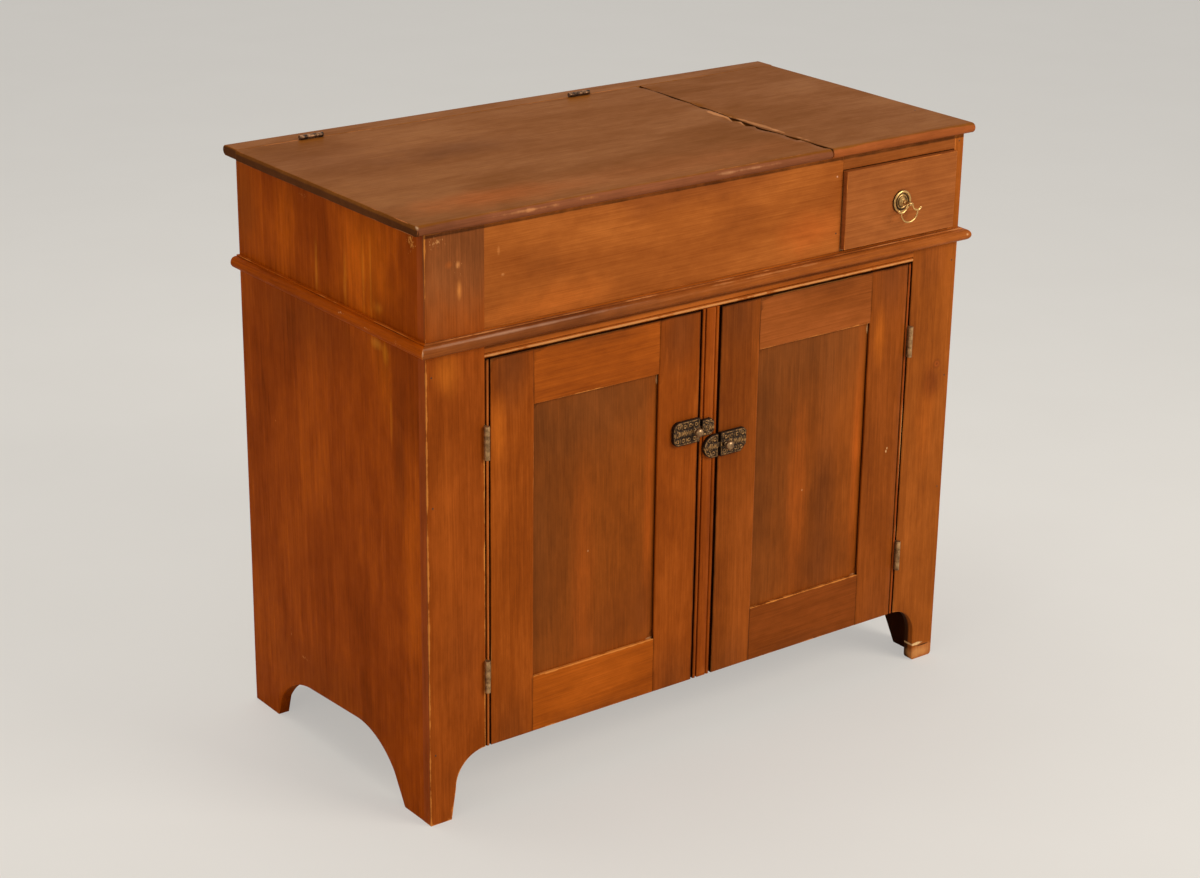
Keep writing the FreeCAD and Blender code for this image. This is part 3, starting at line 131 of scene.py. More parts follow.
def keep_reach(work, name, lines):
    """Store every vertex's distance to the nearest of some lines, for the materials to read."""
    finder = reach_finder(lines)
    layer = work.verts.layers.float.new(name)
    for vert in work.verts:
        vert[layer] = min(furthest_kept, finder.find(vert.co)[2]) if finder else furthest_kept


def round_off(work, edges, round_over):
    """Round some edges of a mesh over."""
    bmesh.ops.bevel(work, geom=edges, offset=round_over, segments=2, profile=0.5, affect="EDGES",
                    clamp_overlap=True, material=-1)


def rule(work, cell):
    """Cut a board's faces into cells, with narrow ones next to its ends and edges."""
    for axis in range(3):
        marks = [vert.co[axis] for vert in work.verts]
        low, high = min(marks), max(marks)
        count = max(1, round((high - low) / cell))
        cuts = [low + (high - low) * index / count for index in range(1, count)]
        for inset in (0.0026, 0.006):
            if high - low > 2.5 * inset:
                cuts += [low + inset, high - inset]
        normal = Vector((0, 0, 0))
        normal[axis] = 1
        for cut in cuts:
            everything = work.verts[:] + work.edges[:] + work.faces[:]
            bmesh.ops.bisect_plane(work, geom=everything, dist=1e-6, plane_co=normal * cut, plane_no=normal)


def within(point, boxes, slack=0.0008):
    """Whether a point lies in any of some boxes."""
    return any(all(low[axis] - slack <= point[axis] <= high[axis] + slack for axis in range(3))
               for low, high in boxes)


def set_in_place(name, work, node, body, finish, turn_limit=35):
    """Turn a finished mesh into a piece that stands for a built node and rides on its body."""
    mesh = bpy.data.meshes.new(name)
    work.to_mesh(mesh)
    work.free()
    mesh.polygons.foreach_set("use_smooth", [True] * len(mesh.polygons))
    mesh.set_sharp_from_angle(angle=math.radians(turn_limit))
    piece = bpy.data.objects.new(name, mesh)
    bpy.context.scene.collection.objects.link(piece)
    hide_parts(node)
    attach(piece, body)
    mesh.materials.append(finish)


def worn_board(node, body, wood, round_over=0.0011, cell=0.022, rubs=(), gaps=(), tight=(), shape=None):
    """A built board with its arrises eased, a hand-planed surface, and its wear distances kept.

    The distance "arris" is to the nearest outer edge or rub line, "nook" to the nearest inner corner, and
    "gap" to the nearest gap line, along which the materials paint shade into gaps and under overhangs and
    darken joints. Edges in the tight boxes are glued up, neither eased nor worn. shape, where given, moves
    the finished vertices.
    """
    work = merged_copy(node)
    outer, inner = [], []
    for edge in work.edges:
        middle = (edge.verts[0].co + edge.verts[1].co) / 2
        sharp = len(edge.link_faces) == 2 and edge.calc_face_angle() > math.radians(32)
        if sharp and not within(middle, tight):
            (outer if edge.is_convex else inner).append(edge)
    arris_lines = [line_of(edge) for edge in outer] + list(rubs)
    nook_lines = [line_of(edge) for edge in inner]
    round_off(work, outer, round_over)
    rule(work, cell)
    keep_reach(work, "arris", arris_lines)
    keep_reach(work, "nook", nook_lines)
    keep_reach(work, "gap", gaps)
    arris = work.verts.layers.float["arris"]
    for vert in work.verts:
        if within(vert.co, tight):
            vert[arris] = furthest_kept
        vert.co += noise.noise_vector(vert.co * 5) * 0.0005
        if shape:
            shape(vert.co)
    set_in_place(f"{node}_board", work, node, body, wood)


def paint(red, green, blue):
    """A colour as a painter mixes it, 0 to 255, in the light-linear form that shaders take."""
    parts = [value / 255 for value in (red, green, blue)]
    linear = [part / 12.92 if part <= 0.04045 else ((part + 0.055) / 1.055) ** 2.4 for part in parts]
    return (*linear, 1)


def join(tree, made, inputs):
    """Set or link each named or numbered input of a shader node."""
    for name, what in inputs.items():
        if isinstance(what, bpy.types.NodeSocket):
            tree.links.new(what, made.inputs[name])
        else:
            made.inputs[name].default_value = what


def put(tree, kind, inputs=None, **settings):
    """A shader node, with its settings and its inputs."""
    made = tree.nodes.new(f"ShaderNode{kind}")
    for name, what in settings.items():
        setattr(made, name, what)
    join(tree, made, inputs or {})
    return made


def reckon(tree, operation, first, second=0.0, clamp=False):
    """One sum on values."""
    made = put(tree, "Math", {0: first, 1: second}, operation=operation, use_clamp=clamp)
    return made.outputs[0]


def times(tree, first, second):
    """One value or colour share multiplied by another."""
    return reckon(tree, "MULTIPLY", first, second)


def mingle(tree, share, below, above, how="MIX"):
    """One colour laid over another by a share."""
    made = put(tree, "Mix", {0: share, 6: below, 7: above}, data_type="RGBA", blend_type=how)
    return made.outputs[2]


def ease(tree, value, low, high, at_low=0.0, at_high=1.0):
    """A value carried smoothly from one range to another."""
    made = put(tree, "MapRange", {"Value": value, "From Min": low, "From Max": high, "To Min": at_low,
                                  "To Max": at_high}, interpolation_type="SMOOTHSTEP")
    return made.outputs["Result"]


def drawn_out(tree, vector, share):
    """Coordinates that draw a pattern out along the grain (Z)."""
    return put(tree, "Mapping", {"Vector": vector, "Scale": (1.0, 1.0, share)}).outputs[0]


def soft_noise(tree, vector, scale, detail, roughness=0.5, distortion=0.0):
    """Soft random values over a surface, a half in the middle."""
    made = put(tree, "TexNoise", {"Vector": vector, "Scale": scale, "Detail": detail, "Roughness": roughness,
                                  "Distortion": distortion})
    return made.outputs["Fac"]


def effect(name, inputs, outputs):
    """A new shared effect: its tree, and the sockets that its values come in by."""
    tree = bpy.data.node_groups.new(name, "ShaderNodeTree")
    for label, value in inputs.items():
        kind = "NodeSocketVector" if isinstance(value, tuple) else "NodeSocketFloat"
        socket = tree.interface.new_socket(name=label, in_out="INPUT", socket_type=kind)
        socket.default_value = value
    for label in outputs:
        tree.interface.new_socket(name=label, in_out="OUTPUT", socket_type="NodeSocketFloat")
    return tree, tree.nodes.new("NodeGroupInput").outputs


def give(tree, **results):
    """Hand an effect's results to its outputs."""
    end = tree.nodes.new("NodeGroupOutput")
    for name, socket in results.items():
        tree.links.new(socket, end.inputs[name])


def use(tree, name, inputs):
    """Place a shared effect in a material, with its own values."""
    made = tree.nodes.new("ShaderNodeGroup")
    made.node_tree = bpy.data.node_groups[name]
    join(tree, made, inputs)
    return made.outputs


# Pine: growth rings round a pith that runs along the grain (Z here), long soft streaks, fine fibres and
# clouds of stain. Depth is how dark the stain has taken, about a half, and Relief the height of the surface.
tree, given = effect("pine_grain", {"Vector": (0.0, 0.0, 0.0), "Rings": 0.3, "Ring Scale": 26.0,
                                    "Streaks": 0.5, "Fibre": 0.4, "Clouds": 0.6, "Mottle": 0.3},
                     ("Depth", "Relief"))
here = given["Vector"]
rings = put(tree, "TexWave", {"Vector": drawn_out(tree, here, 0.07), "Scale": given["Ring Scale"],
                              "Distortion": 5.0, "Detail": 3.0, "Detail Scale": 0.6,
                              "Detail Roughness": 0.55},
            wave_type="RINGS", rings_direction="Z", wave_profile="SAW").outputs["Fac"]
streaks = soft_noise(tree, drawn_out(tree, here, 0.035), 75.0, 4.0, 0.6)
fibres = soft_noise(tree, drawn_out(tree, here, 0.02), 620.0, 2.0)
clouds = soft_noise(tree, drawn_out(tree, here, 0.4), 6.5, 4.0, distortion=0.8)
mottle = soft_noise(tree, drawn_out(tree, here, 0.45), 60.0, 5.0, 0.7)
depth = 0.5
for amount, source, gain in (("Rings", rings, 0.6), ("Streaks", streaks, 1.6), ("Fibre", fibres, 1.3),
                             ("Clouds", clouds, 2.4), ("Mottle", mottle, 1.6)):
    swing = times(tree, reckon(tree, "SUBTRACT", source, 0.5), gain)
    depth = reckon(tree, "ADD", depth, times(tree, swing, given[amount]))
planed = soft_noise(tree, here, 9.0, 2.0)
height = reckon(tree, "ADD", times(tree, fibres, 0.06), times(tree, streaks, 0.25))
height = reckon(tree, "ADD", height, planed)
give(tree, Depth=reckon(tree, "MAXIMUM", depth, 0.0, clamp=True), Relief=height)

# A band along an edge, its border broken up: wear where the distance is to an outer edge, dirt and painted
# shade where it is to an inner corner, and painted shade and dark joints where it is to a gap line.
tree, given = effect("edge_band", {"Vector": (0.0, 0.0, 0.0), "Distance": 0.0, "Width": 0.002,
                                   "Raggedness": 0.8, "Gaps": 0.45}, ("Mask",))
ragged = ease(tree, soft_noise(tree, given["Vector"], 26.0, 5.0, 0.65), 0.32, 0.68)
narrow = reckon(tree, "SUBTRACT", 1.0, given["Raggedness"])
swing = times(tree, ragged, times(tree, given["Raggedness"], 2.0))
limit = times(tree, given["Width"], reckon(tree, "ADD", narrow, swing))
crossed = reckon(tree, "DIVIDE", given["Distance"], reckon(tree, "MAXIMUM", limit, 1e-5))
inside = reckon(tree, "SUBTRACT", 1.0, crossed)
present = ease(tree, soft_noise(tree, given["Vector"], 9.0, 3.0),
               reckon(tree, "SUBTRACT", given["Gaps"], 0.08), reckon(tree, "ADD", given["Gaps"], 0.08))
give(tree, Mask=times(tree, ease(tree, inside, 0.0, 0.7), present))

# A soft-edged patch round a place, for stain, soot and rubbed spots.
tree, given = effect("patch", {"Vector": (0.0, 0.0, 0.0), "Centre": (0.0, 0.0, 0.0), "Reach": (0.1, 0.1, 0.1),
                               "Softness": 0.5, "Raggedness": 0.5}, ("Mask",))
off = put(tree, "VectorMath", {0: given["Vector"], 1: given["Centre"]}, operation="SUBTRACT").outputs[0]
scaled = put(tree, "VectorMath", {0: off, 1: given["Reach"]}, operation="DIVIDE").outputs[0]
far = put(tree, "VectorMath", {0: scaled}, operation="LENGTH").outputs["Value"]
stir = soft_noise(tree, drawn_out(tree, given["Vector"], 0.5), 22.0, 5.0, 0.6)
shift = times(tree, reckon(tree, "SUBTRACT", stir, 0.5), times(tree, given["Raggedness"], 2.0))
border = reckon(tree, "SUBTRACT", 1.0, given["Softness"])
outside = ease(tree, reckon(tree, "ADD", far, shift), border, 1.0)
give(tree, Mask=reckon(tree, "SUBTRACT", 1.0, outside))

# Nicks: small bare specks and dashes scattered over a surface.
tree, given = effect("nicks", {"Vector": (0.0, 0.0, 0.0), "Spacing": 0.05, "Size": 0.03, "Share": 0.3},
                     ("Mask",))
strewn = put(tree, "VectorMath", {0: given["Vector"], 3: reckon(tree, "DIVIDE", 1.0, given["Spacing"])},
             operation="SCALE").outputs[0]
wobble = reckon(tree, "SUBTRACT", soft_noise(tree, strewn, 9.0, 2.0), 0.5)
cells = put(tree, "TexVoronoi", {"Vector": strewn, "Scale": 1.0, "Randomness": 1.0})
chance = put(tree, "SeparateColor", {"Color": cells.outputs["Color"]})
near = reckon(tree, "ADD", cells.outputs["Distance"], times(tree, wobble, 0.12))
size = times(tree, given["Size"], reckon(tree, "ADD", chance.outputs[1], 0.4))
chosen = reckon(tree, "LESS_THAN", chance.outputs[0], given["Share"])
give(tree, Mask=times(tree, reckon(tree, "LESS_THAN", near, size), chosen))

# Scuffs: fine flecks, close together in the middle of a knocked place and thinning out round it.
tree, given = effect("scuffs", {"Vector": (0.0, 0.0, 0.0), "Area": 0.0, "Cover": 0.3}, ("Mask",))
flecked = soft_noise(tree, drawn_out(tree, given["Vector"], 0.45), 300.0, 4.0, 0.7)
level = reckon(tree, "ADD", flecked, times(tree, given["Area"], given["Cover"]))
give(tree, Mask=times(tree, ease(tree, level, 0.70, 0.76), ease(tree, given["Area"], 0.0, 0.2)))

grain_up = (0.0, 0.0, 0.0)
grain_across = (0.0, math.radians(90), 0.0)
grain_back = (math.radians(90), 0.0, 0.0)


def new_finish(name):
    """An empty material: itself, its tree, and the place on the piece that its patterns are laid out by."""
    material = bpy.data.materials.new(name)
    material.use_nodes = True
    tree = material.node_tree
    tree.nodes.clear()
    return material, tree, put(tree, "TexCoord").outputs["Object"]


def shade_by(tree, depth, stops):
    """Colours from pale to deep by how dark the stain has taken, from two or more (depth, colour) stops."""
    ramp = put(tree, "ValToRGB", {"Fac": depth})
    elements = ramp.color_ramp.elements
    for element, (place, tone) in zip(elements, (stops[0], stops[-1])):
        element.position = place
        element.color = paint(*tone)
    for place, tone in stops[1:-1]:
        elements.new(place).color = paint(*tone)
    return ramp.outputs["Color"]


def surface_of(tree, colour, rough, relief, strength, step, others):
    """End a material: its colour, roughness and relief on one surface, with the surface's other settings."""
    bump = put(tree, "Bump", {"Height": relief, "Strength": strength, "Distance": step})
    surface = put(tree, "BsdfPrincipled", {"Base Color": colour, "Roughness": rough,
                                           "Normal": bump.outputs[0], **others})
    put(tree, "OutputMaterial", {"Surface": surface.outputs[0]})


def stained_pine(name, grain, seed, pale, mid, deep, bare=(212, 124, 54), nook_dirt_and_shade=(64, 24, 8), wear_width=0.0012,
                 wear_gaps=0.48, nook_dark_width=0.0012, gap_shade_width=0.0042, rings=0.16, streaks=0.16, clouds=0.46,
                 gloss=0.38, shine=0.05, patches=(), scuffs=()):
    """A stained and shellacked pine, worn along its outer edges, darkened in its inner corners with dirt and
    painted shade, and painted near black along gap lines as shade in gaps and under overhangs and as dark
    joints.

    patches are (centre, reach, softness, raggedness, colour, strength), laid over one another in turn, and
    scuffs are (centre, reach, cover, colour).
    """
    material, tree, here = new_finish(name)
    tilt = (grain[0] + math.radians(1.1), grain[1] + math.radians(0.8), grain[2])
    turned = put(tree, "Mapping", {"Vector": here, "Location": seed, "Rotation": tilt}).outputs[0]
    pine = use(tree, "pine_grain", {"Vector": turned, "Rings": rings, "Streaks": streaks, "Clouds": clouds})
    colour = shade_by(tree, pine["Depth"], ((0.12, pale), (0.5, mid), (0.9, deep)))
    grain_share = ease(tree, pine["Depth"], 0.12, 0.9, 1.32, 0.7)
    for centre, reach, softness, raggedness, tone, strength in patches:
        mask = use(tree, "patch", {"Vector": here, "Centre": centre, "Reach": reach, "Softness": softness,
                                   "Raggedness": raggedness})["Mask"]
        grained = mingle(tree, 1.0, paint(*tone), grain_share, "MULTIPLY")
        colour = mingle(tree, times(tree, mask, strength), colour, grained)
    for centre, reach, cover, tone in scuffs:
        area = use(tree, "patch", {"Vector": here, "Centre": centre, "Reach": reach, "Softness": 1.0,
                                   "Raggedness": 0.2})["Mask"]
        flecked = use(tree, "scuffs", {"Vector": turned, "Area": area, "Cover": cover})["Mask"]
        colour = mingle(tree, times(tree, flecked, 0.8), colour, paint(*tone))
    nicked = use(tree, "nicks", {"Vector": turned, "Spacing": 0.05, "Size": 0.026, "Share": 0.18})["Mask"]
    colour = mingle(tree, times(tree, nicked, 0.75), colour, paint(*bare))
    bands = {}
    # Painted shade: the nook band darkens inner corners with dirt and shade, and the gap band paints gaps and
    # the undersides of overhangs near black, as well as dark joint lines.
    for line, width, gaps, raggedness, tone, strength in (
            ("arris", wear_width, wear_gaps, 0.8, bare, 0.9),
            ("nook", nook_dark_width, 0.1, 0.4, nook_dirt_and_shade, 0.9),
            ("gap", gap_shade_width, 0.0, 0.12, (14, 5, 2), 0.97)):
        distance = put(tree, "Attribute", attribute_name=line).outputs["Fac"]
        bands[line] = use(tree, "edge_band", {"Vector": turned, "Distance": distance, "Width": width,
                                              "Gaps": gaps, "Raggedness": raggedness})["Mask"]
        colour = mingle(tree, times(tree, bands[line], strength), colour, paint(*tone))
    rough = ease(tree, pine["Depth"], 0.2, 0.9, gloss - 0.05, gloss + 0.14)
    rough = reckon(tree, "ADD", rough, times(tree, bands["arris"], 0.12))
    surface_of(tree, colour, rough, pine["Relief"], 0.55, 0.0011,
               {"Specular IOR Level": shine, "Specular Tint": (1.0, 0.72, 0.45, 1.0)})
    return material


left_low, left_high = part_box("left_side")
flame = (220, 106, 10)
straw = (222, 130, 30)
umber = (206, 124, 56)


def on_left_side(back, up, reach_back, reach_up, reach_in=0.05):
    """Where a mark lies on the left side, from its front edge and the floor, and how far it reaches."""
    return (left_low.x, left_low.y + back, up), (reach_in, reach_back, reach_up)


left_side_tones = (
    ((0.13, 0.84, 0.12, 0.18), 0.6, flame, 0.6),
    ((0.27, 0.80, 0.006, 0.07), 1.0, straw, 0.42),
    ((0.19, 0.80, 0.007, 0.08), 1.0, straw, 0.42),
    ((0.14, 0.81, 0.005, 0.10), 1.0, straw, 0.42),
    ((0.12, 0.81, 0.004, 0.09), 1.0, straw, 0.42),
    ((0.36, 0.83, 0.05, 0.16), 0.6, flame, 0.3),
    ((0.09, 0.68, 0.03, 0.10), 0.6, flame, 0.45),
    ((0.085, 0.712, 0.010, 0.022), 1.0, (236, 140, 26), 0.55),
    ((0.105, 0.720, 0.016, 0.010), 1.0, (236, 150, 44), 0.45),
    ((0.072, 0.62, 0.004, 0.05), 1.0, (226, 124, 26), 0.4),
    ((0.10, 0.775, 0.020, 0.014), 1.0, (232, 138, 34), 0.45),
    ((0.02, 0.40, 0.03, 0.40), 0.4, flame, 0.2),
    ((0.05, 0.58, 0.02, 0.16), 0.4, (92, 38, 5), 0.4),
    ((0.48, 0.84, 0.06, 0.12), 0.4, (92, 42, 8), 0.45),
    ((0.30, 0.70, 0.22, 0.10), 0.4, (106, 46, 6), 0.4),
    ((0.26, 0.12, 0.30, 0.08), 0.4, (116, 50, 6), 0.35),
)
side_patches = [(*on_left_side(*place), 1.0, raggedness, tone, strength)
                for place, raggedness, tone, strength in left_side_tones]
side_depth = left_high.y - left_low.y
side_scuffs = [(*on_left_side(*place, reach_in=0.02), cover, tone) for place, cover, tone in (
    ((0.012, 0.893, 0.028, 0.026), 0.22, (232, 152, 70)),
    ((0.30, 0.893, 0.022, 0.008), 0.20, (226, 150, 76)),
    ((side_depth - 0.12, 0.165, 0.003, 0.030), 0.22, umber),
    ((side_depth - 0.16, 0.135, 0.030, 0.006), 0.22, umber),
)]
left_side_wood = stained_pine(
    "left_side_pine", grain_up, (0.31, 0.12, 0.4), (190, 88, 8), (156, 66, 3), (118, 46, 2), streaks=0.28,
    clouds=0.56, wear_gaps=0.5, bare=(206, 116, 44), shine=0.02, patches=side_patches, scuffs=side_scuffs)
front_joint = (((left_low.x, left_low.y, 0), (left_high.x, left_low.y, left_high.z)),)
worn_board("left_side", "carcass", left_side_wood, cell=0.012, tight=front_joint)
right_low, right_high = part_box("right_side")
# Painted shade: near black on the right side's inner face and on the back of the right stile, close to the
# floor.
painted_foot_shade = (26, 12, 6)
right_middle_y = (right_low.y + right_high.y) / 2
right_side_wood = stained_pine(
    "right_side_pine", grain_up, (0.82, 0.43, 0.9), (182, 92, 22), (150, 72, 13), (114, 49, 7), streaks=0.28,
    # painted shade on the inner face near the floor
    shine=0.02, patches=(((right_low.x, right_middle_y, 0.0), (0.008, 0.5, 0.16), 0.4, 0.3, painted_foot_shade, 0.9),))
worn_board("right_side", "carcass", right_side_wood, cell=0.016)


# Inner boards: the deck under the well and drawer, the cupboard floor, the shelf, the divider beside the
# drawer and the upright back boards are bare pine, sawn and planed, gone brown with age and never stained.
def bare_pine(name, grain, seed):
    """Unfinished aged pine."""
    material, tree, here = new_finish(name)
    turned = put(tree, "Mapping", {"Vector": here, "Location": seed, "Rotation": grain}).outputs[0]
    pine = use(tree, "pine_grain", {"Vector": turned, "Rings": 0.5, "Streaks": 0.6, "Clouds": 0.5})
    colour = shade_by(tree, pine["Depth"], ((0.15, (196, 152, 100)), (0.85, (112, 74, 42))))
    marks = use(tree, "nicks", {"Vector": turned, "Spacing": 0.09, "Size": 0.05, "Share": 0.3})["Mask"]
    colour = mingle(tree, times(tree, marks, 0.6), colour, paint(84, 52, 30))
    rough = ease(tree, pine["Depth"], 0.2, 0.9, 0.62, 0.8)
    surface_of(tree, colour, rough, pine["Relief"], 0.6, 0.001, {"Specular IOR Level": 0.25})
    return material


def dress(node, material):
    """Give a built piece that keeps its own shape a better finish."""
    slots = frame["nodes"][node].data.materials
    for index in range(len(slots)):
        slots[index] = material
    if not slots:
        slots.append(material)


across_inner = bare_pine("inner_pine_across", grain_across, (0.11, 0.07, 0.33))
up_inner = bare_pine("inner_pine_up", grain_up, (0.21, 0.17, 0.03))
back_inner = bare_pine("inner_pine_back", grain_back, (0.05, 0.27, 0.13))
for board in ("deck", "cupboard_floor", "shelf"):
    dress(board, across_inner)
dress("back_boards", up_inner)
dress("well_divider", back_inner)


# Front frame: two upright stiles, sawn to a bracket foot below, the rail over the doors with a bead along its
# lower edge, the narrow stile between the doors with a bead at each side, and a thin rail over the drawer.
# The wide board of the well's front is let in between the left stile and the drawer.
left_stile_low, left_stile_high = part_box("left_stile")
right_stile_low, right_stile_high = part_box("right_stile")
centre_low, centre_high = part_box("centre_stile")
well_low, well_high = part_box("well_front")
lintel_low, lintel_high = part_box("drawer_lintel")
front_y = left_stile_low.y
stile_back_y = left_stile_high.y
nose_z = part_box("waist_moulding_front")[1].z - 0.011
under_lid = 0.9062
above_all = 1
drawer_gap_y = front_y + 0.008


def upright_line(x, y, low_z, high_z):
    """A line that stands at one place, between two heights."""
    return (x, y, low_z), (x, y, high_z)


def level_line(left_x, right_x, y, z):
    """A line across the cabinet, at one depth and height."""
    return (left_x, y, z), (right_x, y, z)


def lid_shadow(low, high):
    """The dark line along the top of a board where the lid's nose lies over it."""
    return level_line(low.x, high.x, front_y - 0.002, under_lid)


def on_front(x, z, reach_x, reach_z, reach_y=0.06):
    """Where a mark lies on the front frame's face, and how far it reaches."""
    return (x, front_y, z), (reach_x, reach_y, reach_z)


left_stile_wood = stained_pine(
    "left_stile_pine", grain_up, (0.63, 0.31, 0.2), (174, 84, 24), (143, 65, 13), (114, 48, 7), streaks=0.3,
    wear_width=0.0022, wear_gaps=0.36, bare=(216, 132, 56), patches=(
        (*on_front(-0.455, 0.88, 0.12, 0.16), 0.8, 0.3, (136, 80, 42), 0.7),
        ((left_stile_low.x, front_y + 0.016, 0.4), (0.004, 0.014, 1.5), 0.15, 0.1, (150, 62, 3), 0.85),
        (*on_front(-0.47, 0.70, 0.03, 0.05), 1.0, 0.6, (206, 112, 30), 0.4),
        (*on_front(-0.475, 0.42, 0.025, 0.26), 1.0, 0.6, (180, 90, 26), 0.25),
        (*on_front(-0.45, 0.26, 0.06, 0.14), 1.0, 0.4, (122, 56, 16), 0.4),
        (*on_front(-0.45, 0.06, 0.05, 0.06), 1.0, 0.5, (104, 46, 14), 0.45),
        (*on_front(-0.467, 0.861, 0.010, 0.008, 0.03), 0.9, 1.0, (190, 98, 38), 0.45),
        (*on_front(-0.453, 0.859, 0.006, 0.008, 0.03), 0.8, 0.8, (206, 134, 74), 0.75),
        (*on_front(-0.451, 0.822, 0.007, 0.022, 0.03), 0.8, 0.8, (208, 128, 60), 0.75),
    ), scuffs=(
        (*on_front(-0.490, 0.896, 0.026, 0.018, 0.03), 0.20, (204, 140, 82)),
        (*on_front(-0.452, 0.845, 0.016, 0.040, 0.03), 0.12, (212, 140, 76)),
    ))
left_door_gap = upright_line(left_stile_high.x, front_y + 0.006, centre_low.z, centre_high.z)
left_joints = (
    ((left_stile_low.x, stile_back_y, 0), (left_stile_high.x, stile_back_y, above_all)),
    ((left_stile_high.x, front_y, well_low.z - 0.001), (left_stile_high.x, stile_back_y, above_all)),
)
worn_board("left_stile", "carcass", left_stile_wood, round_over=0.0016, cell=0.018,
           tight=left_joints, gaps=(left_door_gap, lid_shadow(left_stile_low, left_stile_high)))

knot = (0.480, 0.530)
right_stile_wood = stained_pine(
    "right_stile_pine", grain_up, (0.17, 0.61, 0.5), (184, 98, 34), (154, 79, 23), (120, 57, 15), patches=(
        (*on_front(0.468, 0.502, 0.030, 0.040), 0.9, 0.5, (108, 48, 17), 0.85),
        (*on_front(*knot, 0.012, 0.011, 0.03), 0.6, 0.4, (112, 50, 18), 0.6),
        (*on_front(*knot, 0.008, 0.007, 0.03), 0.7, 0.4, (184, 92, 34), 0.6),
        (*on_front(*knot, 0.004, 0.004, 0.03), 0.8, 0.4, (100, 42, 13), 0.7),
        (*on_front(0.45, 0.71, 0.05, 0.06), 1.0, 0.5, (142, 72, 26), 0.6),
        (*on_front(0.46, 0.45, 0.03, 0.16), 1.0, 0.6, (180, 90, 24), 0.4),
        # painted shade on the back of the right stile's foot
        ((0.45, stile_back_y, 0.05), (0.045, 0.012, 0.16), 0.4, 0.1, painted_foot_shade, 0.9),
        (*on_front(0.490, 0.0, 0.07, 0.026, 0.008), 0.2, 0.5, (186, 112, 58), 0.85),
        (*on_front(0.480, 0.012, 0.030, 0.010, 0.03), 1.0, 1.6, (212, 148, 84), 0.6),
        (*on_front(0.472, 0.0290, 0.014, 0.0030), 0.5, 1.0, (240, 196, 136), 0.9),
        (*on_front(0.488, 0.0240, 0.015, 0.0016), 0.5, 0.8, (46, 20, 10), 0.8),
    ))


def foot_shape(point):
    """Wear the foot of the right stile round at its corners."""
    worn_height, foot_middle, foot_half = 0.004, 0.489, 0.02
    if point.z < worn_height:
        share = 1 - point.z / worn_height
        point.x += 0.0028 * (foot_middle - point.x) / foot_half * share
        if point.y < front_y + 0.004:
            point.y += 0.0016 * share


right_door_gap = upright_line(right_stile_low.x, front_y + 0.0032, centre_low.z, centre_high.z)
drawer_right_gap = upright_line(right_stile_low.x + 0.076, front_y + 0.012, 0.758, 0.888)
right_joint = ((right_stile_low.x, stile_back_y, 0), (right_stile_high.x, stile_back_y, above_all))
worn_board("right_stile", "carcass", right_stile_wood, round_over=0.0014, cell=0.018,
           shape=foot_shape, tight=(right_joint,),
           gaps=(right_door_gap, lid_shadow(right_stile_low, right_stile_high), drawer_right_gap))

opening_left, opening_right = left_stile_high.x, right_stile_low.x
bead_z = centre_high.z + 0.0034
nose_shadow = ((0, front_y, nose_z - 0.0145), (1.6, 0.01, 0.0034), 1.0, 0.2, (66, 28, 12), 0.75)
rail_wood = stained_pine(
    "beaded_rail_pine", grain_across, (0.27, 0.21, 0.7), (192, 104, 38), (162, 82, 24), (124, 56, 14),
    wear_width=0.003, wear_gaps=0.3, bare=(214, 144, 82), nook_dirt_and_shade=(52, 20, 8), nook_dark_width=0.0009,
    gap_shade_width=0.0026, patches=(nose_shadow,))
above_bead = ((opening_left - 0.001, front_y - 0.001, bead_z + 0.0024),
              (opening_right + 0.001, front_y + 0.03, bead_z + 0.1))
over_doors = level_line(opening_left, opening_right, front_y - 0.0003, centre_high.z - 0.0008)
worn_board("beaded_rail", "carcass", rail_wood, round_over=0.0006, gaps=(over_doors,),
           tight=(above_bead,), rubs=(level_line(opening_left, opening_right, front_y, bead_z),))

centre_wood = stained_pine(
    "centre_stile_pine", grain_up, (0.37, 0.71, 0.1), (184, 92, 26), (152, 70, 15), (112, 46, 8),
    wear_width=0.0006, wear_gaps=0.58, nook_dirt_and_shade=(96, 34, 8), nook_dark_width=0.0011, gap_shade_width=0.0036)
worn_board("centre_stile", "carcass", centre_wood, round_over=0.0006, gaps=tuple(
    upright_line(x, front_y + 0.0034, centre_low.z, centre_high.z) for x in (centre_low.x, centre_high.x)))

well_wood = stained_pine(
    "well_front_pine", grain_across, (0.47, 0.13, 0.3), (196, 112, 47), (167, 90, 34), (136, 66, 20),
    rings=0.12, streaks=0.07, clouds=0.5, patches=(
        (*on_front(-0.30, 0.775, 0.16, 0.04), 1.0, 0.6, (208, 110, 40), 0.5),
        (*on_front(0.20, 0.80, 0.10, 0.05), 1.0, 0.6, (190, 88, 30), 0.35),
        (*on_front(0.05, 0.85, 0.07, 0.06), 1.0, 0.6, (132, 66, 24), 0.4),
        (*on_front(-0.31, 0.84, 0.05, 0.04), 1.0, 1.0, (134, 68, 26), 0.35),
        # painted shade along the top, under the lid's nose
        (*on_front(-0.05, 0.90, 0.34, 0.04), 1.0, 0.6, (128, 64, 28), 0.5),
        (*on_front(-0.378, 0.832, 0.004, 0.003, 0.03), 0.8, 0.8, (214, 138, 76), 0.7),
        (*on_front(-0.385, 0.868, 0.003, 0.008, 0.03), 0.8, 0.8, (208, 128, 64), 0.5),
        (*on_front(well_high.x - 0.012, 0.879, 0.0022, 0.0020, 0.03), 0.8, 0.6, (232, 186, 150), 0.8),
    ))
well_joint = (tuple(well_low), (well_low.x, well_high.y, well_high.z))
drawer_left_gap = upright_line(well_high.x, drawer_gap_y, well_low.z, lintel_low.z)
worn_board("well_front", "carcass", well_wood, tight=(well_joint,),
           gaps=(lid_shadow(well_low, well_high), drawer_left_gap))

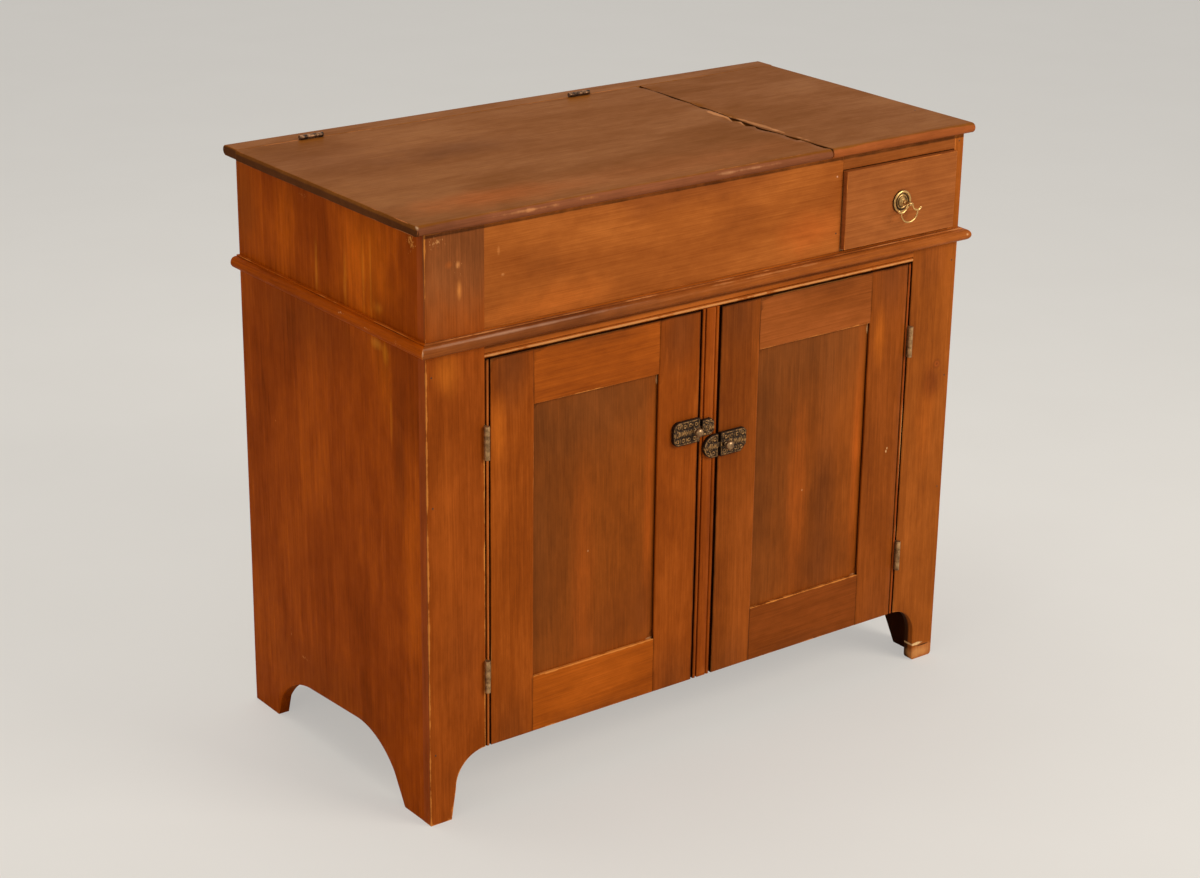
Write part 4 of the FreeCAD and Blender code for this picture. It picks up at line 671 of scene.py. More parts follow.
lintel_wood = stained_pine(
    "drawer_lintel_pine", grain_across, (0.57, 0.33, 0.4), (176, 98, 44), (147, 79, 31), (116, 56, 18))
over_drawer = level_line(lintel_low.x, lintel_high.x, drawer_gap_y, lintel_low.z)
worn_board("drawer_lintel", "carcass", lintel_wood,
           gaps=(lid_shadow(lintel_low, lintel_high), over_drawer))


# Waist moulding: a round nose with a flat fillet above it, run along the front and both sides and mitred at
# the front corners, worn along its arrises, with a painted highlight along the top of the front nose and
# painted shade along its underside.
nose_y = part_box("waist_moulding_front")[0].y
front_moulding_wood = stained_pine(
    "waist_front_pine", grain_across, (0.19, 0.41, 0.6), (188, 104, 44), (154, 80, 28), (114, 52, 16),
    wear_width=0.0016, wear_gaps=0.46, bare=(206, 130, 72), nook_dirt_and_shade=(92, 42, 18), nook_dark_width=0.0008, patches=(
        ((-0.30, nose_y, nose_z), (0.40, 0.03, 0.03), 0.9, 0.4, (122, 66, 32), 0.7),
        # painted shade along the underside of the nose
        ((-0.05, nose_y - 0.002, nose_z - 0.0085), (0.6, 0.012, 0.004), 1.0, 0.3, (70, 30, 12), 0.6),
        # painted highlight along the top of the nose
        ((-0.36, nose_y + 0.003, nose_z + 0.0066), (0.26, 0.006, 0.0024), 0.9, 0.5, (200, 148, 116), 0.65),
        ((-0.5225, nose_y + 0.003, nose_z + 0.004), (0.0024, 0.006, 0.009), 0.8, 0.6, (226, 184, 146), 0.7),
        ((0.515, nose_y + 0.002, nose_z + 0.002), (0.004, 0.006, 0.003), 0.8, 0.6, (232, 180, 124), 0.7),
        # painted highlight on the nose towards the right
        ((0.10, nose_y + 0.004, nose_z + 0.0076), (0.16, 0.006, 0.0012), 0.8, 1.6, (206, 136, 80), 0.45),
    ))
side_moulding_wood = stained_pine(
    "waist_side_pine", grain_back, (0.29, 0.51, 0.2), (206, 98, 12), (172, 76, 6), (130, 53, 4), shine=0.02,
    nook_dirt_and_shade=(70, 28, 8), nook_dark_width=0.0009, scuffs=(
        ((-0.523, -0.05, nose_z + 0.005), (0.006, 0.014, 0.005), 0.26, (232, 176, 120)),
        ((-0.525, -0.12, nose_z + 0.001), (0.006, 0.03, 0.005), 0.18, (226, 160, 100)),
        ((-0.525, -0.20, nose_z), (0.006, 0.03, 0.006), 0.20, (226, 160, 100)),
    ))
for part, wood in (("front", front_moulding_wood), ("left", side_moulding_wood),
                   ("right", side_moulding_wood)):
    worn_board(f"waist_moulding_{part}", "carcass", wood, round_over=0.0005, cell=0.012)


# Top: a narrow rear rail nailed down, a short fixed board over the drawer, and a long lid hinged to the rail.
# The split between lid and fixed board has opened, wandered and chipped. Years of use left the top browner
# and duller than the front.
lid_low, lid_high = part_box("lid")
fixed_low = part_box("fixed_top")[0]
rear_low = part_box("rear_rail")[0]
top_z = lid_high.z
split_marks = ((-0.30, 0.002), (-0.24, -0.002), (-0.17, -0.004), (-0.10, -0.009), (-0.04, -0.004),
               (0.04, 0.003), (0.16, 0.008), (0.26, 0.012))


def split_shift(y):
    """How far to the right the wandering split runs at a distance back."""
    for (near_y, near), (far_y, far) in zip(split_marks, split_marks[1:]):
        if near_y <= y <= far_y:
            return near + (far - near) * (y - near_y) / (far_y - near_y)
    return split_marks[-1][1]


def split_edge(edge_x, facing, pitch, seed, least, chip_in, chip_down):
    """What carries a board's edge along the split and chips its upper arris; facing is 1 for a right edge."""
    def shape(point):
        drawn_width, chipped_depth = 0.06, 0.006
        share = max(0.0, 1 - facing * (edge_x - point.x) / drawn_width)
        point.x += share * split_shift(point.y)
        if share > 0.9 and point.z > top_z - chipped_depth:
            chip = max(0.0, noise.noise(Vector((point.y * pitch, seed, 0))) - least)
            point.x -= facing * chip * chip_in
            point.z -= chip * chip_down
    return shape


top_tones = ((144, 86, 30), (124, 70, 22), (102, 55, 14))
split_x = (lid_high.x + fixed_low.x) / 2
split_line = ((split_x, fixed_low.y, top_z - 0.001), (split_x, lid_high.y, top_z - 0.001))
lid_wood = stained_pine(
    "lid_pine", grain_across, (0.39, 0.11, 0.9), *top_tones, rings=0.08, streaks=0.08, clouds=0.4,
    wear_width=0.0010, wear_gaps=0.54, bare=(190, 112, 62), gloss=0.42, shine=0.02, gap_shade_width=0.0034,
    patches=(
        ((-0.15, -0.268, 0.914), (0.7, 0.0146, 0.03), 0.2, 0.15, (134, 77, 50), 0.85),
        ((-0.24, -0.262, 0.924), (0.02, 0.004, 0.004), 1.0, 1.6, (232, 150, 70), 0.8),
        ((-0.33, -0.262, 0.922), (0.05, 0.004, 0.003), 1.0, 2.0, (224, 150, 92), 0.6),
        ((0.06, -0.262, 0.922), (0.08, 0.004, 0.003), 1.0, 2.0, (224, 160, 110), 0.5),
        ((-0.36, -0.19, top_z), (0.18, 0.06, 0.05), 1.0, 0.4, (166, 82, 20), 0.55),
        ((-0.02, -0.20, top_z), (0.6, 0.08, 0.03), 1.0, 0.3, (146, 80, 30), 0.4),
        ((-0.45, 0.12, top_z), (0.20, 0.20, 0.05), 1.0, 0.3, (98, 50, 10), 0.35),
        ((lid_low.x, 0.0, 0.9120), (0.004, 1.2, 0.0115), 0.25, 0.1, (80, 42, 18), 0.85),
        ((lid_low.x, fixed_low.y, top_z), (0.006, 0.008, 0.006), 0.8, 0.6, (226, 186, 144), 0.8),
        ((-0.25, 0.06, top_z), (0.16, 0.06, 0.05), 1.0, 0.6, (92, 48, 14), 0.4),
        ((split_x - 0.006, -0.08, top_z), (0.0055, 0.16, 0.02), 0.5, 2.4, (178, 116, 66), 0.85),
    ))
worn_board("lid", "lid", lid_wood, round_over=0.0013, cell=0.018, gaps=(split_line,),
           rubs=(level_line(lid_low.x, lid_high.x, fixed_low.y + 0.006, top_z),),
           shape=split_edge(lid_high.x, 1, 55, 3.1, 0.05, 0.008, 0.006))
fixed_wood = stained_pine(
    "fixed_top_pine", grain_across, (0.49, 0.61, 0.35), *top_tones, rings=0.08, streaks=0.08, clouds=0.4,
    gloss=0.42, shine=0.02, gap_shade_width=0.0034, bare=(190, 112, 62), patches=(
        ((0.37, -0.268, 0.914), (0.3, 0.0146, 0.03), 0.2, 0.2, (158, 82, 40), 0.8),
        ((split_x + 0.004, -0.10, top_z), (0.0040, 0.10, 0.02), 0.5, 2.4, (178, 116, 66), 0.8),
    ))
worn_board("fixed_top", "carcass", fixed_wood, round_over=0.0013, cell=0.018, gaps=(split_line,),
           shape=split_edge(fixed_low.x, -1, 60, 7.7, 0.1, 0.005, 0.005))
dark_end = ((rear_low.x, 0.26, 0.915), (0.004, 0.1, 0.012), 0.3, 0.1, (74, 38, 16), 0.85)
rear_rail_wood = stained_pine(
    "rear_rail_pine", grain_across, (0.59, 0.27, 0.15), *top_tones, gloss=0.4, streaks=0.08, shine=0.02,
    bare=(176, 108, 62), patches=(dark_end,))
worn_board("rear_rail", "carcass", rear_rail_wood, round_over=0.0013)


# Doors: a stile at each side, a rail above and below tenoned into them, and a plain panel let into a groove
# and set back from the frame. The hinge stile has a bead along its outer edge. The panels have gone dark.
def round_edges(low, high, y):
    """The four sides of an upright rectangle at one depth."""
    corners = [(low.x, y, low.z), (high.x, y, low.z), (high.x, y, high.z), (low.x, y, high.z)]
    return list(zip(corners, corners[1:] + corners[:1]))


# The doors are darker towards their tops and bottoms.
door_ends_dark = (108, 54, 22)
rubbed = (232, 178, 122)
fleck = (230, 176, 116)
door_tones = {
    "left": {
        "bead": (186, 104, 46),
        "stile": ((180, 90, 26), (148, 69, 14), (114, 49, 8)),
        "top": ((198, 100, 34), (168, 82, 20), (130, 58, 12)),
        "bottom": ((200, 100, 26), (170, 82, 16), (130, 58, 10)),
        "panel": ((186, 94, 28), (158, 77, 18), (118, 54, 11)),
    },
    "right": {
        "bead": (160, 68, 24),
        "stile": ((170, 86, 28), (140, 68, 17), (108, 48, 10)),
        "top": ((174, 92, 40), (146, 75, 27), (114, 54, 16)),
        "bottom": ((154, 76, 26), (128, 61, 16), (100, 45, 9)),
        "panel": ((180, 92, 28), (150, 73, 18), (112, 52, 11)),
    },
}
for side, inward, bead_in, seed in (("left", 1, 0.0036, 0.1), ("right", -1, 0.0032, 0.5)):
    body = f"{side}_door"
    tones = door_tones[side]
    hinge_low, hinge_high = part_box(f"{side}_door_hinge_stile")
    latch_low, latch_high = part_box(f"{side}_door_latch_stile")
    panel_low, panel_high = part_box(f"{side}_door_panel")
    hinge_x = (hinge_low.x + hinge_high.x) / 2
    latch_x = (latch_low.x + latch_high.x) / 2
    face_y, back_y, panel_y = hinge_low.y, hinge_high.y, panel_low.y
    door_low = Vector((min(hinge_low.x, latch_low.x), face_y, hinge_low.z))
    door_high = Vector((max(hinge_high.x, latch_high.x), back_y, hinge_high.z))
    seen_low = Vector((min(hinge_high.x, latch_high.x), panel_y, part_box(f"{side}_door_bottom_rail")[1].z))
    seen_high = Vector((max(hinge_low.x, latch_low.x), panel_y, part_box(f"{side}_door_top_rail")[0].z))
    hinge_edge, latch_edge = (door_low.x, door_high.x)[::inward]

    panel_rim = round_edges(seen_low, seen_high, panel_y)
    quirk = [upright_line(hinge_edge + inward * 0.0072, face_y + 0.0027, door_low.z, door_high.z)]
    door_gap = [upright_line(hinge_edge, face_y + 0.0034, door_low.z, door_high.z),
                upright_line(latch_edge, face_y + 0.0025, door_low.z, door_high.z),
                level_line(door_low.x, door_high.x, face_y + 0.002, door_high.z)]
    joints = [upright_line(x, face_y + 0.0028, low, high) for x in (seen_low.x, seen_high.x)
              for low, high in ((door_low.z, seen_low.z), (seen_high.z, door_high.z))]
    shoulders = [((x - 0.001, face_y, low), (x + 0.001, back_y, high)) for x in (seen_low.x, seen_high.x)
                 for low, high in ((door_low.z, seen_low.z - 0.002), (seen_high.z + 0.002, door_high.z))]

    hinge_patches = [
        ((hinge_edge + inward * bead_in, face_y, 0.4), (0.0026, 0.05, 2.0), 0.8, 0.2, tones["bead"], 0.6),
        ((hinge_x, face_y, 0.70), (0.06, 0.05, 0.10), 1.0, 0.3, door_ends_dark, 0.7),
        ((hinge_x, face_y, 0.10), (0.06, 0.05, 0.12), 1.0, 0.3, door_ends_dark, 0.35),
        ((hinge_x - 0.02, face_y, 0.60), (0.018, 0.05, 0.07), 1.0, 0.4, (204, 106, 28), 0.5),
    ]
    if side == "right":
        hinge_patches += [
            ((door_high.x - 0.001, face_y, 0.39), (0.0020, 0.003, 0.16), 0.4, 2.2, (226, 162, 92), 0.85),
            ((hinge_x + 0.008, face_y, 0.400), (0.0020, 0.004, 0.0035), 0.5, 0.6, fleck, 0.85),
            ((hinge_x + 0.010, face_y, 0.405), (0.0016, 0.004, 0.0030), 0.5, 0.6, fleck, 0.85),
        ]
    latch_patches = [
        ((latch_x, face_y, 0.70), (0.06, 0.05, 0.10), 1.0, 0.3, door_ends_dark, 0.65),
        ((latch_x, face_y, 0.11), (0.06, 0.05, 0.09), 1.0, 0.3, door_ends_dark, 0.5),
    ]
    for place, turn, patches, more_gaps in (("hinge", (0.3, 0.2), hinge_patches, quirk),
                                            ("latch", (0.5, 0.7), latch_patches, [])):
        stile_wood = stained_pine(f"{side}_{place}_stile_pine", grain_up, (seed, *turn), *tones["stile"],
                                  wear_gaps=0.6, patches=patches)
        worn_board(f"{side}_door_{place}_stile", body, stile_wood, round_over=0.0006,
                   gaps=door_gap + joints + panel_rim + more_gaps, tight=shoulders)

    mid_x, mid_z = (seen_low.x + seen_high.x) / 2, (seen_low.z + seen_high.z) / 2
    ledge = level_line(seen_low.x, seen_high.x, face_y + 0.001, seen_low.z)
    for place, turn, outer_z in (("top", 0.3, door_high.z), ("bottom", 0.8, door_low.z)):
        darker_outer_edge = ((mid_x, face_y, outer_z), (0.15, 0.05, 0.03), 1.0, 0.4, door_ends_dark, 0.4)
        rail_wood = stained_pine(
            f"{side}_{place}_rail_pine", grain_across, (seed, turn, 0.4), *tones[place], wear_gaps=0.42,
            wear_width=0.0018, bare=(222, 138, 62), patches=(darker_outer_edge,))
        worn_board(f"{side}_door_{place}_rail", body, rail_wood, round_over=0.0006,
                   rubs=(ledge,), gaps=door_gap + joints, tight=shoulders)

    panel_patches = [
        ((mid_x, panel_y, mid_z), (0.30, 0.05, 0.60), 1.0, 0.2, (127, 65, 20), 0.5),
        ((seen_low.x, panel_y, mid_z), (0.13, 0.05, 0.50), 1.0, 0.2, (107, 57, 22), 0.7),
        # painted shadow of the top rail across the top of the panel
        ((mid_x, panel_y, seen_high.z), (0.24, 0.05, 0.18), 1.0, 0.2, (118, 65, 28), 0.7),
        ((mid_x + 0.02, panel_y, seen_low.z + 0.04), (0.12, 0.05, 0.09), 1.0, 0.3, (110, 54, 20), 0.4),
        ((mid_x - 0.02, panel_y, mid_z - 0.06), (0.03, 0.05, 0.24), 1.0, 0.5, (188, 90, 25), 0.45),
        ((seen_high.x - 0.012, panel_y, mid_z), (0.014, 0.05, 0.24), 1.0, 0.5, (196, 92, 24), 0.5),
        ((seen_high.x - 0.0005, panel_y, seen_high.z - 0.01), (0.0022, 0.004, 0.008), 0.8, 1.2, rubbed, 0.75),
        ((seen_high.x - 0.006, panel_y, seen_low.z + 0.001), (0.010, 0.004, 0.0020), 0.8, 1.2, rubbed, 0.75),
        ((mid_x - 0.01, panel_y, mid_z - 0.04), (0.0018, 0.004, 0.0022), 0.8, 0.6, rubbed, 0.6),
    ]
    if side == "left":
        dark_corner = (seen_high.x - 0.02, panel_y, seen_low.z + 0.05)
        panel_patches.append((dark_corner, (0.07, 0.05, 0.12), 1.0, 0.2, (104, 50, 18), 0.5))
    else:
        dark_streak = ((panel_low.x + panel_high.x) / 2 + 0.035, panel_y, 0.32)
        panel_patches.append((dark_streak, (0.04, 0.05, 0.30), 1.0, 0.15, (112, 58, 24), 0.5))
    panel_wood = stained_pine(
        f"{side}_panel_pine", grain_up, (seed, 0.8, 0.1), *tones["panel"], streaks=0.1, clouds=0.45,
        gap_shade_width=0.0017, patches=panel_patches)
    worn_board(f"{side}_door_panel", body, panel_wood, gaps=panel_rim)


# Drawer: a plain front that stands a little out of its opening, with bare pine sides, back and bottom behind.
front_low, front_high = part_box("drawer_front")
drawer_wood = stained_pine(
    "drawer_front_pine", grain_across, (0.77, 0.41, 0.25), (188, 108, 54), (161, 90, 41), (130, 66, 28),
    rings=0.22, streaks=0.1)
worn_board("drawer_front", "drawer", drawer_wood, round_over=0.0022,
           gaps=round_edges(front_low, front_high, front_low.y + 0.012))
for board in ("drawer_left_side", "drawer_right_side", "drawer_bottom"):
    dress(board, back_inner)
for board in ("drawer_back", "drawer_stop"):
    dress(board, across_inner)


# Door hinges: cast iron butts, each with three knuckles on a loose pin. The leaves are let into the door's
# edge and the stile, so that only the barrel shows while a door is shut. The iron has gone brown.
def corners_over(work, degrees):
    """The outer corners of a mesh that turn by more than an angle."""
    return [edge for edge in work.edges if len(edge.link_faces) == 2 and edge.is_convex
            and edge.calc_face_angle() > math.radians(degrees)]


def eased(node, round_over, metal):
    """A built metal piece with its corners eased, on the body that it was built for."""
    work = merged_copy(node)
    round_off(work, corners_over(work, 32), round_over)
    set_in_place(f"{node}_metal", work, node, frame["nodes"][node]["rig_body"], metal, 40)


tree, given = effect("patina", {"Vector": (0.0, 0.0, 0.0), "Speck": 90.0, "Rise": 0.5}, ("Bright", "Relief"))
mottle = reckon(tree, "SUBTRACT", soft_noise(tree, given["Vector"], given["Speck"], 5.0, 0.65), 0.5)
pits = soft_noise(tree, given["Vector"], times(tree, given["Speck"], 9.0), 3.0)
lit = reckon(tree, "ADD", times(tree, mottle, 1.4), given["Rise"])
give(tree, Bright=ease(tree, lit, 0.15, 0.9), Relief=pits)


def aged_metal(name, hollow_tone, rubbed_tone, dull, bright, metallic, rise=0.5, speck=90.0, pitting=0.3):
    """Old metal, dark and dull where dirt keeps, rubbed bright where it stands up.

    rise says how much of it stands up; None reads that from the piece's own "rise".
    """
    material, tree, here = new_finish(name)
    if rise is None:
        rise = put(tree, "Attribute", attribute_name="rise").outputs["Fac"]
    made = use(tree, "patina", {"Vector": here, "Speck": speck, "Rise": rise})
    colour = mingle(tree, made["Bright"], paint(*hollow_tone), paint(*rubbed_tone))
    rough = ease(tree, made["Bright"], 0.0, 1.0, dull, bright)
    surface_of(tree, colour, rough, made["Relief"], pitting, 0.0003, {"Metallic": metallic})
    return material


hinge_metal = aged_metal("hinge_iron", (84, 52, 26), (200, 156, 104), 0.55, 0.4, 0.7, rise=0.55)
for side in ("left", "right"):
    for piece in ("door_leaves", "frame_leaves", "pins"):
        eased(f"{side}_door_hinge_{piece}", 0.0004, hinge_metal)


# Lid hinges: two smaller butts of the same kind, their leaves between the lid's rear edge and the rail, with
# the barrel standing over the joint. Their backs are nearly black, and the knuckles rubbed brassy.
lid_hinge_metal = aged_metal("lid_hinge_iron", (30, 18, 10), (176, 128, 88), 0.5, 0.34, 0.75, rise=0.42,
                             speck=160.0)
for piece in ("lid_leaves", "rail_leaves", "pins"):
    eased(f"lid_hinge_{piece}", 0.0004, lid_hinge_metal)


# Latches: a cast case screwed to each door and a cast keeper on the centre stile, both covered with low
# scrolled leaves inside a raised border, and a plain bolt between them that a round knob slides.
def leaf_relief(across, up, edge):
    """How far the casting stands out in millimetres, and how bright it is rubbed, at a place on its face."""
    spine_half, row_up, repeat, ripple_turn = 5.2, 11.0, 11.0, math.pi / 3.4
    if abs(up) < spine_half:
        ripple = 0.12 * math.cos(2 * ripple_turn * across) * math.cos(ripple_turn * up)
        round_back = (1 - (up / spine_half) ** 2) ** 0.5
        return 1.1 * round_back + ripple, 0.12 + 0.3 * round_back + 1.2 * ripple
    turn_x = across % repeat - repeat / 2
    turn_z = abs(up) - row_up
    radius = math.hypot(turn_x, turn_z)
    angle = math.copysign(math.atan2(turn_z, turn_x), up)
    leaf = 0.75 * (0.5 + 0.5 * math.cos(2 * angle + radius * 1.5)) * math.exp(-(radius / 6.0) ** 2)
    border = 0.5 * math.exp(-((edge - 1.7) / 0.7) ** 2)
    height = border + leaf * min(1.0, max(0.0, (edge - 1.6) / 1.2))
    return height, 0.05 + 0.85 * height


def cut_faces(work, faces, at, normal, dist):
    """Cut some of a mesh's faces by a plane, and leave the others whole."""
    edges = list({edge for face in faces for edge in face.edges})
    verts = list({vert for face in faces for vert in face.verts})
    bmesh.ops.bisect_plane(work, geom=verts + edges + faces, dist=dist, plane_co=at, plane_no=normal)


def cast_plate(node, spine_z, metal, cell=0.00055):
    """A latch casting: its built shape with eased corners, and its face raised into leaves and a border."""
    work = merged_copy(node)
    low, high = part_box(node)
    rim = [line_of(edge) for edge in work.edges
           if all(vert.co.y < low.y + 1e-5 for vert in edge.verts) and edge.calc_face_angle(0) > 0.5]
    rim_finder = reach_finder(rim, 0.0003)
    round_off(work, corners_over(work, 40), 0.0005)
    for axis, normal in ((0, Vector((1, 0, 0))), (2, Vector((0, 0, 1)))):
        steps = int((high[axis] - low[axis]) / cell)
        for index in range(1, steps):
            front_faces = [face for face in work.faces if face.normal.y < -0.9]
            mark = low[axis] + (high[axis] - low[axis]) * index / steps
            cut_faces(work, front_faces, normal * mark, normal, 1e-6)
    rise = work.verts.layers.float.new("rise")
    middle_x = (low.x + high.x) / 2
    for vert in work.verts:
        vert[rise] = 0.2
        if vert.co.y < low.y + 0.0004:
            across, up = (vert.co.x - middle_x) * 1000, (vert.co.z - spine_z) * 1000
            edge = rim_finder.find(vert.co)[2] * 1000
            height, vert[rise] = leaf_relief(across, up, edge)
            if edge > 0.6:
                vert.co.y -= height / 1000
    set_in_place(f"{node}_casting", work, node, frame["nodes"][node]["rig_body"], metal, 60)


def turned_piece(profile, place, turn, steps=40):
    """A piece turned from (radius, height) points in millimetres, then laid over and put in its place."""
    work = bmesh.new()
    verts = [work.verts.new((radius / 1000, 0, height / 1000)) for radius, height in profile]
    edges = [work.edges.new(pair) for pair in zip(verts, verts[1:])]
    bmesh.ops.spin(work, geom=verts + edges, cent=(0, 0, 0), axis=(0, 0, 1), dvec=(0, 0, 0),
                   angle=2 * math.pi, steps=steps, use_merge=True, use_duplicate=False)
    bmesh.ops.remove_doubles(work, verts=work.verts, dist=2e-6)
    bmesh.ops.recalc_face_normals(work, faces=work.faces)
    work.transform(Matrix.Translation(place) @ turn)
    return work


out_of_front = Matrix.Rotation(math.radians(90), 4, "X")
latch_metal = aged_metal("latch_iron", (40, 23, 8), (206, 152, 88), 0.6, 0.32, 0.7, rise=None, speck=240.0)
bolt_metal = aged_metal("bolt_iron", (54, 36, 18), (120, 88, 56), 0.5, 0.38, 0.7)
knob_metal = aged_metal("knob_brass", (84, 56, 30), (190, 150, 106), 0.42, 0.26, 0.8, rise=0.5)
knob_profile = (
    (0, 0), (2.0, 0), (2.0, 2.2), (2.9, 3.0), (2.9, 3.8), (2.1, 4.6), (2.3, 8.4), (4.2, 9.3), (6.3, 10.4),
    (7.1, 12.0), (7.2, 13.2), (6.8, 14.6), (5.7, 15.9), (4.0, 16.8), (2.0, 17.3), (0, 17.5))
for side in ("left", "right"):
    bolt_low, bolt_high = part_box(f"{side}_latch_bolt")
    bolt_z = (bolt_low.z + bolt_high.z) / 2
    for piece in ("case", "keeper"):
        cast_plate(f"{side}_latch_{piece}", bolt_z, latch_metal)
    eased(f"{side}_latch_bolt", 0.0005, bolt_metal)
    knob_low, knob_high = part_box(f"{side}_latch_knob")
    knob_root = ((knob_low.x + knob_high.x) / 2, knob_high.y, bolt_z)
    knob_work = turned_piece(knob_profile, knob_root, out_of_front)
    set_in_place(f"{side}_latch_knob_turned", knob_work, f"{side}_latch_knob", f"{side}_bolt",
                 knob_metal)


# Drawer pull: a dished round backplate with a raised rim, a turned post whose drilled eye holds a bail, and a
# nut on the post's tail inside the drawer. The bail's shoulders curl out to small balls, all of cast brass.
plate_low, plate_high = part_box("pull_rosette")
pull_x = (plate_low.x + plate_high.x) / 2
pull_z = (plate_low.z + plate_high.z) / 2
drawer_face = front_low.y
eye_y = drawer_face - 0.0195
pull_metal = aged_metal("pull_brass", (58, 36, 12), (220, 172, 104), 0.44, 0.22, 0.85, rise=None, speck=60.0,
                        pitting=0.15)
rosette_profile = (
    (0, -22.5), (2.2, -22.5), (2.2, 0), (18.1, 0), (18.5, 0.6), (18.5, 1.6), (18.0, 3.0), (16.9, 3.9),
    (15.6, 4.0), (14.6, 3.3), (14.1, 2.3), (12.9, 1.8), (11.6, 1.9), (11.0, 2.6), (10.2, 2.9), (9.4, 2.5),
    (8.8, 2.1), (7.8, 2.3), (6.9, 3.6), (5.6, 5.2), (4.2, 6.0), (3.4, 7.0), (3.2, 8.2), (3.7, 9.0),
    (3.7, 9.8), (2.9, 10.7), (2.4, 12.6), (2.4, 14.6), (2.9, 16.0), (2.9, 16.6))
rosette_work = turned_piece(rosette_profile, (pull_x, drawer_face, pull_z), out_of_front, steps=64)
eye_profile = ((1.56, -3.0), (2.4, -3.2), (3.2, -2.2), (3.7, 0), (3.2, 2.2), (2.4, 3.2), (1.56, 3.0),
               (1.56, -3.0))
along_bail = Matrix.Rotation(math.radians(90), 4, "Y")
eye_work = turned_piece(eye_profile, (pull_x, eye_y, pull_z), along_bail, steps=32)
eye_mesh = bpy.data.meshes.new("pull_eye")
eye_work.to_mesh(eye_mesh)
eye_work.free()
rosette_work.from_mesh(eye_mesh)
bpy.data.meshes.remove(eye_mesh)
rise = rosette_work.verts.layers.float.new("rise")
for vert in rosette_work.verts:
    out = (drawer_face - vert.co.y) * 1000
    radius = math.hypot(vert.co.x - pull_x, vert.co.z - pull_z) * 1000
    vert[rise] = 0.05 + 0.7 * min(1.0, max(0.0, (out - 1.7) / 1.6)) if radius > 7 else 0.6
set_in_place("pull_rosette_turned", rosette_work, "pull_rosette", "drawer", pull_metal, 50)


def bent_wire(name, points):
    """A drawn and bent rod through (across, up, radius) points in millimetres, as a mesh."""
    curve = bpy.data.curves.new(name, "CURVE")
    curve.dimensions = "3D"
    curve.bevel_depth = 0.001
    curve.bevel_resolution = 5
    curve.resolution_u = 6
    curve.use_fill_caps = True
    spline = curve.splines.new("NURBS")
    spline.points.add(len(points) - 1)
    for point, (across, up, radius) in zip(spline.points, points):
        point.co = (pull_x + across / 1000, eye_y, pull_z + up / 1000, 1)
        point.radius = radius
    spline.order_u = 3
    spline.use_endpoint_u = True
    wire = bpy.data.objects.new(name, curve)
    bpy.context.scene.collection.objects.link(wire)
    mesh = bpy.data.meshes.new_from_object(wire.evaluated_get(bpy.context.evaluated_depsgraph_get()))
    bpy.data.objects.remove(wire)
    return mesh


def mirrored(points):
    """The same bend on the other side of the eye."""
    return tuple((-across, up, radius) for across, up, radius in points)


shoulder = ((4.6, 0, 1.45), (5.4, -0.6, 1.6), (5.9, -3.4, 1.6), (8.0, -8.0, 1.7), (12.5, -11.2, 1.8),
            (17.5, -12.0, 1.9), (21.4, -10.9, 1.7), (22.9, -9.4, 1.4))
half_loop = ((17.6, -10.6, 1.2), (17.5, -14.5, 1.3), (15.4, -21.0, 1.45), (9.6, -27.0, 1.6))
axle = ((-5.3, 0, 1.45), (0, 0, 1.45), (5.3, 0, 1.45))
loop = mirrored(half_loop) + ((0, -29.6, 1.7),) + half_loop[::-1]
bail_work = bmesh.new()
for index, points in enumerate((axle, mirrored(shoulder), shoulder, loop)):
    wire_mesh = bent_wire(f"bail_wire_{index}", points)
    bail_work.from_mesh(wire_mesh)
    bpy.data.meshes.remove(wire_mesh)
for sign in (-1, 1):
    ball_place = Matrix.Translation((pull_x + sign * 0.0231, eye_y, pull_z - 0.0086))
    bmesh.ops.create_uvsphere(bail_work, u_segments=20, v_segments=12, radius=0.0022, matrix=ball_place)
rise = bail_work.verts.layers.float.new("rise")
for vert in bail_work.verts:
    vert[rise] = 0.8
set_in_place("pull_bail_bent", bail_work, "pull_bail", "drawer_bail", pull_metal, 50)
nut_metal = aged_metal("nut_brass", (110, 80, 40), (176, 140, 84), 0.5, 0.36, 0.8)
eased("pull_nut", 0.0004, nut_metal)


# Screws and nails: slotted screws through the hinge leaves and latches, and cut nails through the boards, all
# of old steel gone brown.
def islands(work):
    """The separate solids of a mesh, each as a list of its vertices."""
    waiting, found = set(work.verts), []
    for first in work.verts:
        if first not in waiting:
            continue
        waiting.remove(first)
        edge_of, reached = [first], []
        while edge_of:
            vert = edge_of.pop()
            reached.append(vert)
            for edge in vert.link_edges:
                other = edge.other_vert(vert)
                if other in waiting:
                    waiting.remove(other)
                    edge_of.append(other)
        found.append(reached)
    return found


def girth(verts, axis, end, middle):
    """How far a screw reaches from its middle at one of its ends."""
    return max((vert.co - middle).length for vert in verts if abs(vert.co[axis] - end) < 2e-5)


